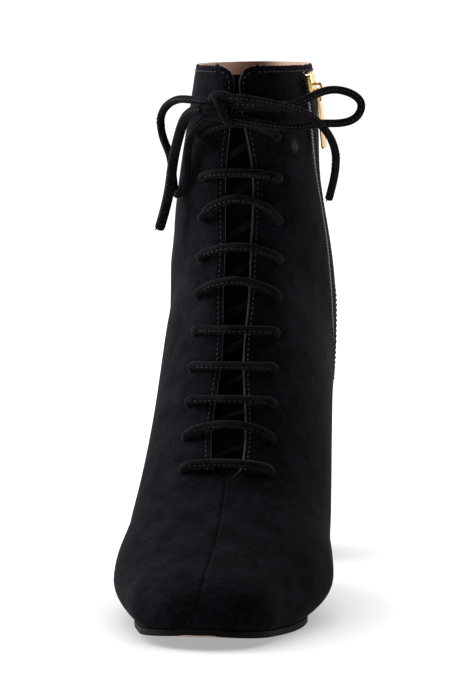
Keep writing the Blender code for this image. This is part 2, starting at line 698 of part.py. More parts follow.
def make_slider():
    """The zip slider with the bridge that holds the pull, and the pull hanging from it."""
    point, out, up = zip_frame()
    across = np.cross(up, out)
    turn = Matrix(np.stack([across, up, out], 1).tolist()).to_4x4()
    seat = Matrix.Translation(Vector(point)) @ turn
    foot, top = SLIDER_FOOT, SLIDER_FOOT + SLIDER_BODY
    slider = box_piece("zip_slider", (-3.6, -5.5, foot), (3.6, 5.5, top))
    slider.data.materials.clear()
    slider.data.materials.append(material("zip_slider_gold", GOLD, 0.25, 1.0))
    bridge = box_piece("slider_bridge", (-0.9, -5.2, top - 0.5), (0.9, 1.2, top + 3.6))
    window = box_piece("bridge_window", (-2.0, -4.1, top), (2.0, 0.1, top + 2.6))
    window.data.materials.clear()
    cut(bridge, window)
    join = slider.modifiers.new("bridge", "BOOLEAN")
    join.operation = "UNION"
    join.solver = "EXACT"
    join.object = bridge
    hide_cutter(bridge)
    for piece in (slider, bridge, window):
        piece.matrix_world = seat

    pull = box_piece("zip_pull", (-2.6, -PULL_LENGTH + 0.7, -PULL_THICK / 2), (2.6, 0.7, PULL_THICK / 2))
    pull.data.materials.clear()
    pull.data.materials.append(material("zip_pull_gold", GOLD, 0.25, 1.0))
    eye = box_piece("pull_eye", (-1.5, -5.2, -3.0), (1.5, -0.7, 3.0))
    cut(pull, eye)
    hinge = seat @ Matrix.Translation(Vector((0.0, -HINGE_DOWN, HINGE_OUT)) * MM)
    lean = Matrix.Rotation(math.radians(PULL_LEAN), 4, "X")
    for piece in (pull, eye):
        piece.matrix_world = hinge @ lean


def build_boot():
    """Clears the scene and makes every piece."""
    for leftover in list(bpy.data.objects):
        bpy.data.objects.remove(leftover, do_unlink=True)
    make_upper()
    make_outsole()
    make_insole()
    make_tongue()
    make_heel()
    make_zip()
    make_slider()
    make_lace()
    make_bow()


build_boot()
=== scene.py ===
"""Looks of the lace-up boot: suede upper with its lining, leather sole, covered heel, gold zip, lace and bow.

Sizes and tables are in millimetres, in the boot's own terms: station s runs from the back of the counter (0)
to the tip of the toe, x points to the inner (medial) side and z is the height over the floor. place() turns
them into metres.
"""
import math

import bmesh
import bpy
import numpy as np
from mathutils import Matrix, Vector


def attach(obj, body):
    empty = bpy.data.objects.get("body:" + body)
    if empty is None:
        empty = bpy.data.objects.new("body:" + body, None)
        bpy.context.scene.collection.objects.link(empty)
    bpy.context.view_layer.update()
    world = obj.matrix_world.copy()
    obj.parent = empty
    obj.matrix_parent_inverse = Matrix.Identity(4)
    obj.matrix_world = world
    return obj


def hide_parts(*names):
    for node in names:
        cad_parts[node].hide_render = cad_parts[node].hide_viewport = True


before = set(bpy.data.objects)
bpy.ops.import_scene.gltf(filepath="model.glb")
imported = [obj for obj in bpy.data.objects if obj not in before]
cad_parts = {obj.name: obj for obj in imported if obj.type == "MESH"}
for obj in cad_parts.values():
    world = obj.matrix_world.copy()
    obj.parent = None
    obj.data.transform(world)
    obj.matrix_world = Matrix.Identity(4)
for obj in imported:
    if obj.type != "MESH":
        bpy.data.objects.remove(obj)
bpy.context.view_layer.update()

# The boot's own sizes and tables
MM = 0.001
BOOT_LENGTH = 240.0
COLLAR_HEIGHT = 215.0
WALL = 2.0
GAP = 0.3
SOLE = 2.4
SOLE_EDGE = 0.5
INSOLE = 2.0
TONGUE = 2.0
LACE = 3.4
EYELET = 3.8            # the punched holes, drawn close around the lace
HEEL_BACK = 7.0
HEEL_BREAST = 52.0
HEEL_SLANT = 2.0
HEEL_FLARE = 1.075
HEEL_TAPER = 0.985
TOP_PIECE = 6.0

COLUMNS = ("base_s", "base_z", "ridge_s", "ridge_z", "lateral", "medial", "seat_lateral", "seat_medial",
           "swing", "widest", "hug")
SECTIONS = (
    ("toe tip",   240.0,   8.6, 240.0,  31.0, 22.5, 22.0, 19.5, 19.0,  1.5, 0.32, 2.4),
    ("toe box",   222.0,   5.1, 223.0,  29.5, 30.0, 29.0, 25.5, 25.0,  2.0, 0.34, 2.3),
    ("toes",      202.0,   3.1, 206.0,  33.5, 37.5, 36.0, 31.0, 30.0,  2.5, 0.35, 2.2),
    ("ball",      182.0,   2.6, 189.0,  41.0, 43.2, 42.3, 34.0, 33.0,  2.5, 0.34, 2.1),
    ("tread",     162.0,   4.0, 173.0,  50.5, 43.6, 42.5, 32.0, 30.0,  2.0, 0.32, 2.0),
    ("throat",    139.0,  12.0, 159.0,  62.0, 41.4, 40.4, 28.0, 25.0,  1.0, 0.31, 2.0),
    ("waist",     113.0,  27.4, 145.0,  77.5, 38.8, 39.2, 25.5, 22.5,  0.0, 0.33, 2.0),
    ("arch",       86.0,  43.2, 131.5,  95.0, 37.2, 37.8, 25.5, 23.0, -0.8, 0.35, 2.0),
    ("breast",     57.0,  56.0, 120.5, 113.5, 37.0, 36.0, 27.5, 26.5, -1.2, 0.36, 2.0),
    ("seat",       29.0,  62.4, 112.8, 131.0, 37.0, 34.5, 28.5, 28.5, -1.4, 0.38, 2.0),
    ("heel tip",    7.0,  65.2, 108.0, 147.5, 36.7, 34.2, 28.5, 28.5, -1.5, 0.40, 2.0),
    ("counter",     0.0,  84.0, 105.6, 163.5, 36.3, 33.8,  0.0,  0.0, -1.5, 0.42, 2.1),
    ("heel top",    5.0, 112.0, 104.4, 178.5, 33.6, 32.0,  0.0,  0.0, -1.9, 0.44, 2.1),
    ("ankle",      11.5, 146.0, 104.0, 191.5, 29.5, 29.4,  0.0,  0.0, -2.5, 0.46, 2.1),
    ("shaft",      14.0, 182.0, 104.0, 203.5, 25.5, 28.3,  0.0,  0.0, -2.7, 0.48, 2.1),
    ("collar",     13.0, 215.0, 104.5, 215.0, 22.3, 25.7,  0.0,  0.0, -2.7, 0.50, 2.1),
)
# Row numbers of a few sections
BALL = 3
THROAT = 5
SEAT = 9
HEEL_TIP = 10
COLLAR = 15
TREAD_Z = SOLE + GAP
TOE_PLAN = (218.0, BOOT_LENGTH, 3.6)
TOE_PROFILE = (206.0, BOOT_LENGTH, 2.6)
HEEL_PLAN = (40.0, HEEL_BACK, 2.2)

THROAT_BOTTOM = 4.36
THROAT_GAP = (          # along, half gap between the quarters
    (0.0, 5.0), (16.0, 6.6), (34.0, 6.1), (60.0, 4.2), (84.0, 5.1), (110.0, 5.2),
    (140.0, 5.1), (152.0, 3.4), (165.0, 1.5), (174.0, 0.8), (190.0, 0.8),
)
THROAT_ROUND = 7.0
COLLAR_ROUND = 7.5
EYELET_PAIRS = 11
EYELET_FIRST = 7.0
EYELET_PITCH = 16.4
EYELET_TOP_DROP = 6.0
EYELET_HALF = (17.6, 15.2)
BAR_RISE = (-1.4, 1.6, -2.8, -3.4, -3.2, 1.9, 0.1, 4.0, -1.7, 2.4)
LACE_LIFT = 2.5
LACE_DEPTH = 4.1
TONGUE_DEPTH = 6.3

ZIP_LINE = (            # s, z from the collar down
    (76.5, 224.0), (75.0, 215.0), (68.5, 182.0), (62.0, 148.0), (55.0, 114.0), (48.0, 82.0), (45.0, 70.0),
)
ZIP_SLOT = 2.6
ZIP_BOTTOM = 82.0
SLIDER_Z = 206.0
PULL_LENGTH = 26.0

# The bow, as a few places (x, s, z) along each strand
BOW = {
    "lace_loop_left": (
        (-14.2, 107.0, 200.5), (-22.0, 101.5, 201.0), (-31.0, 91.0, 200.0), (-37.5, 83.0, 193.0),
        (-36.8, 81.0, 184.0), (-33.5, 83.5, 176.0), (-29.8, 88.0, 161.0), (-26.3, 92.5, 165.0),
        (-24.0, 98.0, 179.0), (-21.0, 102.5, 187.5), (-13.8, 107.0, 194.5)),
    "lace_end_left": (
        (-15.2, 112.0, 197.5), (-21.0, 107.5, 196.0), (-27.5, 98.5, 186.0), (-30.5, 94.0, 176.0),
        (-32.5, 92.5, 163.5), (-37.5, 89.0, 146.0)),
    "lace_loop_right": (
        (-2.2, 112.0, 199.6), (6.0, 110.3, 199.2), (18.5, 102.0, 199.0), (28.5, 91.5, 203.0),
        (38.5, 83.0, 204.5), (46.5, 80.0, 198.5), (45.0, 80.5, 194.0), (38.0, 83.5, 191.0),
        (30.5, 89.5, 191.0), (23.5, 97.0, 190.0), (8.0, 109.3, 191.5), (-2.2, 112.0, 193.5)),
    "lace_end_right": (
        (-4.0, 116.5, 202.3), (5.0, 115.2, 201.5), (17.5, 107.8, 198.5), (27.0, 99.0, 194.5),
        (33.5, 92.5, 187.5), (36.5, 86.0, 177.5), (35.0, 82.5, 166.0), (33.0, 81.5, 158.5)),
}


# The boot's own surface

def cubic(knots, values, flat_start=False, flat_end=False):
    """A natural cubic spline as a function of numpy arrays, level at its start or end if asked."""
    knots = np.array(knots, float)
    values = np.array(values, float)
    gaps = np.diff(knots)
    slopes = np.diff(values) / gaps
    matrix = np.eye(len(knots))
    right = np.zeros(len(knots))
    for i in range(1, len(knots) - 1):
        matrix[i, i - 1:i + 2] = gaps[i - 1], 2 * (gaps[i - 1] + gaps[i]), gaps[i]
        right[i] = 6 * (slopes[i] - slopes[i - 1])
    if flat_start:
        matrix[0, :2] = 2 * gaps[0], gaps[0]
        right[0] = 6 * slopes[0]
    if flat_end:
        matrix[-1, -2:] = gaps[-1], 2 * gaps[-1]
        right[-1] = -6 * slopes[-1]
    bends = np.linalg.solve(matrix, right)

    def at(x):
        x = np.asarray(x, float)
        i = np.clip(np.searchsorted(knots, x) - 1, 0, len(gaps) - 1)
        a = (knots[i + 1] - x) / gaps[i]
        b = (x - knots[i]) / gaps[i]
        curve = (a ** 3 - a) * bends[i] + (b ** 3 - b) * bends[i + 1]
        return a * values[i] + b * values[i + 1] + curve * gaps[i] ** 2 / 6

    return at


def column(name, first=0, last=len(SECTIONS) - 1, flat_start=False, flat_end=False):
    """The spline of one column of SECTIONS over the row number, from the first to the last row given."""
    i = 1 + COLUMNS.index(name)
    rows = list(range(first, last + 1))
    return cubic(rows, [SECTIONS[row][i] for row in rows], flat_start, flat_end)


LINES = {name: column(name, flat_start=name == "ridge_s") for name in COLUMNS}
FOOT = {
    "base_s": column("base_s", 0, HEEL_TIP, True, True),
    "base_z": column("base_z", 0, HEEL_TIP, False, True),
    "seat_lateral": column("seat_lateral", 0, HEEL_TIP),
    "seat_medial": column("seat_medial", 0, HEEL_TIP),
}
BACK = {name: column(name, HEEL_TIP, COLLAR, True) for name in ("base_s", "base_z")}


def end_round(s, start, tip, power):
    """1 up to the start of a rounded end, falling to 0 at its tip."""
    u = np.clip((s - start) / (tip - start), 0, 1)
    return np.sqrt(np.clip(1 - u ** power, 0, 1))


def base(t):
    """Station and height of a section's base."""
    s = np.where(t <= HEEL_TIP, FOOT["base_s"](t), BACK["base_s"](t))
    z = np.where(t <= HEEL_TIP, np.maximum(FOOT["base_z"](t), TREAD_Z), BACK["base_z"](t))
    return s, z


def seat_half(t, side):
    """Half width on the feather line; nothing on the back seam."""
    s, _ = base(t)
    half = FOOT["seat_" + side](t) * end_round(s, *TOE_PLAN) * end_round(s, *HEEL_PLAN)
    return np.where(t < HEEL_TIP, half, 0.0)


def wide_half(t, side):
    """Half width at the widest place of a section."""
    s, _ = base(t)
    return LINES[side](t) * np.where(t < THROAT, end_round(s, *TOE_PLAN), 1.0)


def ridge(t):
    """Station and height of a section's ridge."""
    s, z = base(t)
    rise = (LINES["ridge_z"](t) - z) * np.where(t < THROAT, end_round(s, *TOE_PROFILE), 1.0)
    return LINES["ridge_s"](t), z + rise


def surface(t, v, side):
    """Points (x, s, z) of the upper's outside: v is 0 at the base, 1 at the widest place, 2 at the ridge."""
    t, v = np.broadcast_arrays(np.asarray(t, float), np.asarray(v, float))
    base_s, base_z = base(t)
    ridge_s, ridge_z = ridge(t)
    wide = np.maximum(wide_half(t, side), 1e-9)
    low = np.sqrt(np.clip(1 - (np.minimum(seat_half(t, side), wide) / wide) ** 2, 1e-12, 1))
    widest = LINES["widest"](t)
    power = 2 / LINES["hug"](t)
    angle = np.where(v < 1, np.arcsin(low) * (1 - v), (v - 1) * math.pi / 2)
    sine = np.clip(np.sin(angle), 0, 1)
    cosine = np.clip(np.cos(angle), 0, 1)
    rise = np.where(v < 1, widest * (1 - sine / low), widest + (1 - widest) * sine ** power)
    half = wide * np.where(v < 1, cosine, cosine ** power)
    sign = 1 if side == "medial" else -1
    return np.stack([LINES["swing"](t) + sign * half, base_s + rise * (ridge_s - base_s),
                     base_z + rise * (ridge_z - base_z)], -1)


def unit(vectors):
    """Vectors of length 1 along the last axis."""
    return vectors / np.maximum(np.linalg.norm(vectors, axis=-1, keepdims=True), 1e-12)


def skin(t, v, side, step=2e-3):
    """Points of the upper's outside and the directions out of it."""
    t, v = np.broadcast_arrays(np.asarray(t, float), np.asarray(v, float))
    points = surface(t, v, side)
    along = surface(np.minimum(t + step, COLLAR), v, side) - surface(np.maximum(t - step, 0), v, side)
    across = surface(t, np.minimum(v + step, 2), side) - surface(t, np.maximum(v - step, 0), side)
    normals = np.cross(along, across)
    middle = np.stack([LINES["swing"](t), (base(t)[0] + ridge(t)[0]) / 2, (base(t)[1] + ridge(t)[1]) / 2], -1)
    outward = unit(points - middle)
    normals *= np.where((normals * outward).sum(-1) < 0, -1.0, 1.0)[..., None]
    normals = np.where(np.linalg.norm(normals, axis=-1, keepdims=True) < 1e-9, outward, normals)
    return points, unit(normals)


def reach(points):
    """How far along a line through points each of them lies."""
    return np.concatenate([[0], np.cumsum(np.linalg.norm(np.diff(points, axis=0), axis=1))])


FINE = np.linspace(0, COLLAR, 1501)
FINE_BASE = np.array(base(FINE))
FINE_RUN = np.array(ridge(FINE)) - FINE_BASE
FEATHER_S, FEATHER_Z = base(FINE[FINE <= HEEL_TIP])
RIDGE = surface(FINE, np.full_like(FINE, 2.0), "medial")
ALONG = reach(RIDGE) - np.interp(THROAT_BOTTOM, FINE, reach(RIDGE))
WIDE_LOW = np.min(LINES["swing"](FINE) - wide_half(FINE, "lateral"))
WIDE_HIGH = np.max(LINES["swing"](FINE) + wide_half(FINE, "medial"))
MIDDLE_X = (WIDE_LOW + WIDE_HIGH) / 2
MIDDLE_S = (BOOT_LENGTH + SOLE_EDGE) / 2
SIGN = {"lateral": -1, "medial": 1}
throat_gap = cubic(*zip(*THROAT_GAP))
zip_s = cubic([-z for _, z in ZIP_LINE], [s for s, _ in ZIP_LINE])


def place(points):
    """Millimetres (x, s, z) to metres in the frame: toe towards -Y, inner side towards +X."""
    points = np.asarray(points, float)
    return np.stack([points[..., 0] - MIDDLE_X, MIDDLE_S - points[..., 1], points[..., 2]], -1) * MM


def feather_z(s):
    """Height of the feather line at a station."""
    return np.interp(s, FEATHER_S[::-1], FEATHER_Z[::-1])


def seat_station(s):
    """Section number whose base is at this station of the feather line."""
    return float(np.interp(-s, -FEATHER_S, FINE[FINE <= HEEL_TIP]))


def half_gap(t, inset=0.0):
    """Half the throat's opening at a section, with its round ends, or a line at an inset from its edge."""
    along = np.interp(t, FINE, ALONG)
    gap = throat_gap(along) * end_round(-along, -THROAT_ROUND, 0.0, 2.0)
    corner = COLLAR_ROUND - inset
    over = np.clip(ridge(t)[1] - (COLLAR_HEIGHT - COLLAR_ROUND), 0, corner)
    return np.where(along > 0, gap + COLLAR_ROUND - np.sqrt(corner ** 2 - over ** 2), 0.0)


def ridge_v(t, half, side):
    """The v between widest place and ridge where a section has this half width."""
    share = np.clip(half / np.maximum(wide_half(t, side), 1e-9), 0, 1) ** (LINES["hug"](t) / 2)
    return 1 + np.arccos(share) / (math.pi / 2)


def front_point(along, x):
    """Point and outward direction on the front of the upper, x to the inner side of the throat's middle."""
    def at(along, x):
        t = np.interp(along, ALONG, FINE)
        side = "medial" if x > 0 else "lateral"
        return surface(t, ridge_v(t, abs(x), side), side)

    across = at(along, x + 0.5) - at(along, x - 0.5)
    up = at(along + 1.5, x) - at(along - 1.5, x)
    normal = np.cross(up, across)
    normal *= np.sign(normal[1]) / np.linalg.norm(normal)
    return at(along, x), normal


def side_x(s, z, side):
    """How far out the upper lies at a place in the side view, from the widest line of its sections."""
    turn = FINE_RUN[0] * (z - FINE_BASE[1]) - FINE_RUN[1] * (s - FINE_BASE[0])
    i = np.where((turn[:-1] > 0) & (turn[1:] <= 0))[0][-1]
    t = FINE[i] + turn[i] / (turn[i] - turn[i + 1]) * (FINE[i + 1] - FINE[i])
    base_s, base_z = base(t)
    ridge_s, ridge_z = ridge(t)
    if abs(ridge_z - base_z) > 1:
        rise = (z - base_z) / (ridge_z - base_z)
    else:
        rise = (s - base_s) / (ridge_s - base_s)
    rise = max(rise, 0.0)
    widest = LINES["widest"](t)
    wide = wide_half(t, side)
    if rise < widest:
        low = math.sqrt(1 - (min(seat_half(t, side), wide) / wide) ** 2)
        half = wide * math.sqrt(1 - (low * (1 - rise / widest)) ** 2)
    else:
        power = 2 / LINES["hug"](t)
        sine = min(1.0, (rise - widest) / (1 - widest)) ** (1 / power)
        half = wide * math.sqrt(1 - sine ** 2) ** power
    return float(LINES["swing"](t) + SIGN[side] * half)


def side_point(s, z, side="medial"):
    """Point and outward direction on the side of the upper; above the collar the shaft runs straight on."""
    def at(s, z):
        top = COLLAR_HEIGHT - 0.01
        if z <= top:
            return side_x(s, z, side)
        return side_x(s, top, side) + (z - top) * (side_x(s, top, side) - side_x(s, top - 4, side)) / 4

    slope_s = (at(s + 1, z) - at(s - 1, z)) / 2
    slope_z = (at(s, z + 1) - at(s, z - 1)) / 2
    normal = np.array([1.0, -slope_s, -slope_z]) * SIGN[side]
    return np.array([at(s, z), s, z]), normal / np.linalg.norm(normal)


def smooth_path(points, count):
    """Points read at even steps along a spline through a few points."""
    points = np.array(points, float)
    knots = reach(points)
    steps = np.linspace(0, knots[-1], count)
    return np.stack([cubic(knots, points[:, i])(steps) for i in range(3)], -1)


def path_length(path):
    """Length of a line through points."""
    return float(reach(path)[-1])


def even_path(path, step):
    """A line through points read again at even steps."""
    knots = reach(path)
    at = np.arange(step / 2, knots[-1], step)
    return np.stack([np.interp(at, knots, path[:, i]) for i in range(path.shape[1])], -1)


def zip_point(q, z):
    """Point and outward direction on the inner side, at a height and q away from the zip's line."""
    return side_point(float(zip_s(-z)) + q, z)


def both_arrays(rows):
    """Rows of (point, outward direction) as two arrays."""
    return np.array([point for point, _ in rows]), np.array([out for _, out in rows])


def sunk(rows, depth):
    """The points of rows of (point, outward direction), moved in by a depth."""
    return [point - depth * out for point, out in rows]


def bell(away, width):
    """1 in the middle, falling softly to 0 over a width."""
    return np.exp(-(away / width) ** 2)


# Materials

class Look:
    """A material with its shader and a few short ways to add nodes."""

    def __init__(self, name, **values):
        self.material = bpy.data.materials.new(name)
        self.material.use_nodes = True
        self.tree = self.material.node_tree
        self.shader = self.tree.nodes["Principled BSDF"]
        self.place = self.tree.nodes.new("ShaderNodeTexCoord").outputs["Object"]
        self.fill(self.shader, values)

    def feed(self, socket, value):
        """Gives a socket a value or another node's output."""
        if isinstance(value, bpy.types.NodeSocket):
            self.tree.links.new(value, socket)
        else:
            socket.default_value = value

    def fill(self, node, values):
        """Gives a node's named inputs their values or outputs."""
        for name, value in values.items():
            self.feed(node.inputs[name.replace("_", " ")], value)

    def node(self, kind, **values):
        """A new node with values or outputs on its named inputs."""
        made = self.tree.nodes.new("ShaderNode" + kind)
        self.fill(made, values)
        return made

    def noise(self, scale, detail=3.0, rough=0.55, stretch=(1.0, 1.0, 1.0)):
        """Noise with this many features to a metre."""
        mapping = self.node("Mapping", Scale=stretch, Vector=self.place)
        place = mapping.outputs["Vector"]
        return self.node("TexNoise", Scale=scale, Detail=detail, Roughness=rough, Vector=place).outputs["Fac"]

    def near(self, at, radius):
        """1 at a place, fading to 0 at a ragged radius from it, in metres."""
        away = self.node("VectorMath")
        away.operation = "DISTANCE"
        self.feed(away.inputs[0], self.place)
        self.feed(away.inputs[1], at)
        ragged = self.maths("MULTIPLY", self.noise(700.0, 3.0, 0.7), radius)
        edge = self.maths("ADD", away.outputs["Value"], ragged)
        spot = self.node("MapRange", From_Min=1.6 * radius, From_Max=0.5 * radius, Value=edge)
        return spot.outputs["Result"]

    def ramp(self, value, *stops):
        """Colours over a value, as (place, colour) stops."""
        node = self.node("ValToRGB", Fac=value)
        elements = node.color_ramp.elements
        while len(elements) < len(stops):
            elements.new(0.5)
        for element, (at, colour) in zip(elements, stops):
            element.position = at
            element.color = (*colour, 1.0)
        return node.outputs["Color"]

    def mix(self, factor, first, second):
        """Two colours mixed by a factor, which is a number or an output."""
        node = self.node("Mix")
        node.data_type = "RGBA"
        for socket, value in ((0, factor), (6, first), (7, second)):
            self.feed(node.inputs[socket], value)
        return node.outputs[2]

    def maths(self, kind, first, second):
        """A sum or product of an output with an output or a number."""
        node = self.node("Math")
        node.operation = kind
        for socket, value in enumerate((first, second)):
            self.feed(node.inputs[socket], value)
        return node.outputs[0]

    def bump(self, *layers):
        """Relief from layers of (height, strength, depth in millimetres)."""
        normal = None
        for height, strength, depth in layers:
            node = self.node("Bump", Strength=strength, Distance=depth * MM, Height=height)
            if normal is not None:
                self.feed(node.inputs["Normal"], normal)
            normal = node.outputs["Normal"]
        self.feed(self.shader.inputs["Normal"], normal)

    def colour(self, output):
        """The surface's own colour."""
        self.feed(self.shader.inputs["Base Color"], output)

    def roughness(self, output, low, high):
        """Roughness over a value between two numbers."""
        node = self.node("MapRange", To_Min=low, To_Max=high, Value=output)
        self.feed(self.shader.inputs["Roughness"], node.outputs["Result"])


def suede_look(name, dark, light, sheen, scuff=None):
    """Suede: brushed patches, a fine nap, fibres that catch the light at the edges, and maybe a scuff."""
    look = Look(name, Roughness=0.95, Specular_IOR_Level=0.025, Sheen_Weight=sheen, Sheen_Roughness=0.2,
                Sheen_Tint=(0.95, 0.92, 1.0, 1.0))
    patches = look.noise(110.0, 5.0, 0.66, (1.0, 1.0, 0.7))
    streaks = look.noise(420.0, 5.0, 0.75, (1.0, 1.0, 0.6))
    nap = look.noise(1300.0, 3.0, 0.65)
    brushed = look.ramp(patches, (0.40, dark), (0.64, light))
    mottled = look.mix(0.4, brushed, look.ramp(streaks, (0.40, dark), (0.62, light)))
    colour = look.mix(0.3, mottled, look.ramp(nap, (0.42, dark), (0.60, light)))
    if scuff:
        colour = look.mix(look.near(*scuff), colour, look.ramp(nap, (0.3, light), (0.7, SCUFF_GREY)))
    look.colour(colour)
    look.roughness(streaks, 0.88, 1.0)
    look.bump((streaks, 0.25, 0.35), (nap, 0.45, 0.2))
    return look.material


def leather_look(name, dark, light, rough, grain, gloss=0.4):
    """Smooth leather: pores, fine wrinkles and a little wear."""
    look = Look(name, Specular_IOR_Level=gloss)
    wear = look.noise(70.0, 4.0, 0.6)
    pores = look.noise(grain, 2.0, 0.5)
    wrinkles = look.noise(420.0, 3.0, 0.6, (1.0, 1.6, 1.0))
    worn = look.ramp(wear, (0.3, dark), (0.7, light))
    look.colour(look.mix(0.25, worn, look.ramp(pores, (0.35, dark), (0.6, light))))
    look.roughness(wear, rough - 0.08, rough + 0.1)
    look.bump((wrinkles, 0.2, 0.25), (pores, 0.25, 0.12))
    return look.material


def plain_look(name, noise, stops, relief, rough=None, **values):
    """A look from one noise: its colours, its relief and maybe its roughness between two numbers."""
    look = Look(name, **values)
    marks = look.noise(*noise)
    look.colour(look.ramp(marks, *stops))
    if rough:
        look.roughness(marks, *rough)
    look.bump((marks, *relief))
    return look.material


def edge_look():
    """Cut edge of the suede: fibres, lighter than the face; also painted as the throat edge's highlight."""
    stops = ((0.3, (0.022, 0.022, 0.025)), (0.7, (0.055, 0.054, 0.058)))
    fibres = (1800.0, 3.0, 0.7, (1.0, 1.0, 0.4))
    return plain_look("cut_edge_and_painted_highlight", fibres, stops, (0.4, 0.2), Roughness=0.9, Specular_IOR_Level=0.1)


def thread_look(name, colour):
    """Waxed sewing thread with its twist."""
    stops = ((0.35, tuple(0.55 * c for c in colour)), (0.65, colour))
    return plain_look(name, (3200.0, 1.0, 0.5), stops, (0.3, 0.1), Roughness=0.6, Specular_IOR_Level=0.2)


def rubber_look():
    """Half-gloss rubber of the heel's top piece, a little scuffed."""
    look = Look("heel_rubber", Specular_IOR_Level=0.3)
    scuff = look.noise(160.0, 5.0, 0.7, (1.0, 1.0, 3.0))
    grit = look.noise(2600.0, 2.0, 0.5)
    look.colour(look.ramp(scuff, (0.35, (0.016, 0.016, 0.018)), (0.7, (0.032, 0.031, 0.036))))
    look.roughness(scuff, 0.28, 0.46)
    look.bump((grit, 0.12, 0.06))
    return look.material


def gold_look():
    """Polished gold-coloured metal with fine rubbing marks."""
    stops = ((0.3, (0.66, 0.42, 0.16)), (0.7, (0.86, 0.6, 0.27)))
    marks = (900.0, 3.0, 0.6, (1.0, 1.0, 0.15))
    return plain_look("zip_gold", marks, stops, (0.05, 0.05), (0.14, 0.26), Metallic=1.0)


def tape_look():
    """Black woven zip tape."""
    look = Look("zip_tape_weave", Roughness=0.85, Specular_IOR_Level=0.2)
    wave = look.node("TexWave", Scale=450.0, Vector=look.place)
    wave.bands_direction = "Z"
    fuzz = look.noise(2000.0, 2.0, 0.5)
    weave = look.maths("ADD", wave.outputs["Fac"], fuzz)
    look.colour(look.ramp(weave, (0.5, (0.004, 0.004, 0.005)), (0.95, (0.016, 0.016, 0.018))))
    look.bump((weave, 0.5, 0.25))
    return look.material


def coil_look():
    """Black nylon coil."""
    stops = ((0.3, (0.012, 0.012, 0.013)), (0.7, (0.03, 0.03, 0.032)))
    wear = (600.0, 3.0, 0.6)
    return plain_look("zip_coil_nylon", wear, stops, (0.05, 0.05), (0.3, 0.45), Specular_IOR_Level=0.3)


SCUFF_GREY = (0.060, 0.058, 0.064)
SCUFF = (tuple(place((19.9, 88.0, 181.6))), 0.0032)      # on the inner quarter beside the bow
SUEDE = suede_look("suede", (0.0002, 0.0001, 0.0005), (0.0088, 0.0074, 0.0111), 0.03, SCUFF)
LACE_SUEDE = suede_look("lace_suede", (0.0016, 0.0014, 0.0022), (0.0118, 0.0107, 0.0142), 0.08)
EDGE = edge_look()
LINING = leather_look("lining_leather", (0.36, 0.215, 0.15), (0.47, 0.295, 0.21), 0.6, 1500.0)
# black leather, made darker still as painted shade of the recess behind the lace
TONGUE_LEATHER = leather_look("tongue_leather", (0.0015, 0.0015, 0.002), (0.003, 0.003, 0.0035), 0.7,
                              1200.0, 0.03)
SOLE_BLACK = leather_look("sole_edge", (0.002, 0.002, 0.002), (0.006, 0.0058, 0.0058), 0.6, 1600.0, 0.04)
SOLE_BEIGE = leather_look("sole_underside", (0.3, 0.225, 0.185), (0.38, 0.3, 0.255), 0.55, 1300.0)
THREAD = thread_look("thread", (0.0165, 0.0160, 0.0190))
LACE_THREAD = thread_look("lace_thread", (0.0135, 0.0129, 0.0152))
RUBBER = rubber_look()
GOLD = gold_look()
TAPE = tape_look()
COIL = coil_look()


# Meshes and pieces

def finished(piece, angle=40.0):
    """Applies a piece's modifiers and shades it smooth, with edges over this angle left sharp."""
    graph = bpy.context.evaluated_depsgraph_get()
    made = bpy.data.meshes.new_from_object(piece.evaluated_get(graph))
    piece.modifiers.clear()
    piece.data = made
    made.shade_smooth()
    made.set_sharp_from_angle(angle=math.radians(angle))
    return piece


def mesh_of(name, build):
    """A mesh from a bmesh, with doubles merged and faces turned outwards."""
    bmesh.ops.remove_doubles(build, verts=build.verts, dist=0.004 * MM)
    bmesh.ops.dissolve_degenerate(build, edges=build.edges, dist=0.004 * MM)
    bmesh.ops.recalc_face_normals(build, faces=build.faces)
    made = bpy.data.meshes.new(name)
    build.to_mesh(made)
    build.free()
    return made


def add_object(mesh_data, *looks):
    """Puts a mesh in the scene under its own name, with its materials."""
    piece = bpy.data.objects.new(mesh_data.name, mesh_data)
    bpy.context.collection.objects.link(piece)
    for look in looks:
        mesh_data.materials.append(look)
    return piece


def dress(piece, slot, *nodes, body="boot"):
    """Lets a piece ride on a body and stand for its nodes; the slot is not used."""
    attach(piece, body)
    if nodes:
        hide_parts(*nodes)
    return piece


def add_piece(mesh_data, looks, slot, *nodes, rounding=(), angle=40.0):
    """A mesh as a whole piece: looks, rounded edges where asked, smooth shading and nodes."""
    piece = add_object(mesh_data, *looks)
    if rounding:
        bevel(piece, *rounding)
    return dress(finished(piece, angle), slot, *nodes)


def add_grid(build, points, look=0, closed=False):
    """Adds a grid of millimetre points (rows, columns, 3) with its faces and returns its vertices."""
    grid = [[build.verts.new(point) for point in row] for row in place(points)]
    rows = [row + row[:1] for row in grid] if closed else grid
    for low, high in zip(rows, rows[1:]):
        for corners in zip(low, low[1:], high[1:], high):
            build.faces.new(corners).material_index = look
    return grid


def add_rings(build, rings, look=0):
    """Adds a closed solid through rings of millimetre points."""
    grid = add_grid(build, np.array(rings), look, True)
    for end in (grid[0], grid[-1]):
        build.faces.new(end).material_index = look


def border(grid):
    """The four edges of a grid of vertices, one after the other."""
    return grid[0], [row[-1] for row in grid], grid[-1][::-1], [row[0] for row in grid][::-1]


def slab(name, outer, inner, looks=(0, 0, 0)):
    """A closed solid between two grids, with material numbers for outer face, inner face and edge."""
    build = bmesh.new()
    top = add_grid(build, outer, looks[0])
    bottom = add_grid(build, inner, looks[1])
    for edge, twin in zip(border(top), border(bottom)):
        for corners in zip(edge, edge[1:], twin[1:], twin):
            build.faces.new(corners).material_index = looks[2]
    return mesh_of(name, build)


def loft(name, rings):
    """A closed solid through rings of millimetre points."""
    build = bmesh.new()
    add_rings(build, rings)
    return mesh_of(name, build)


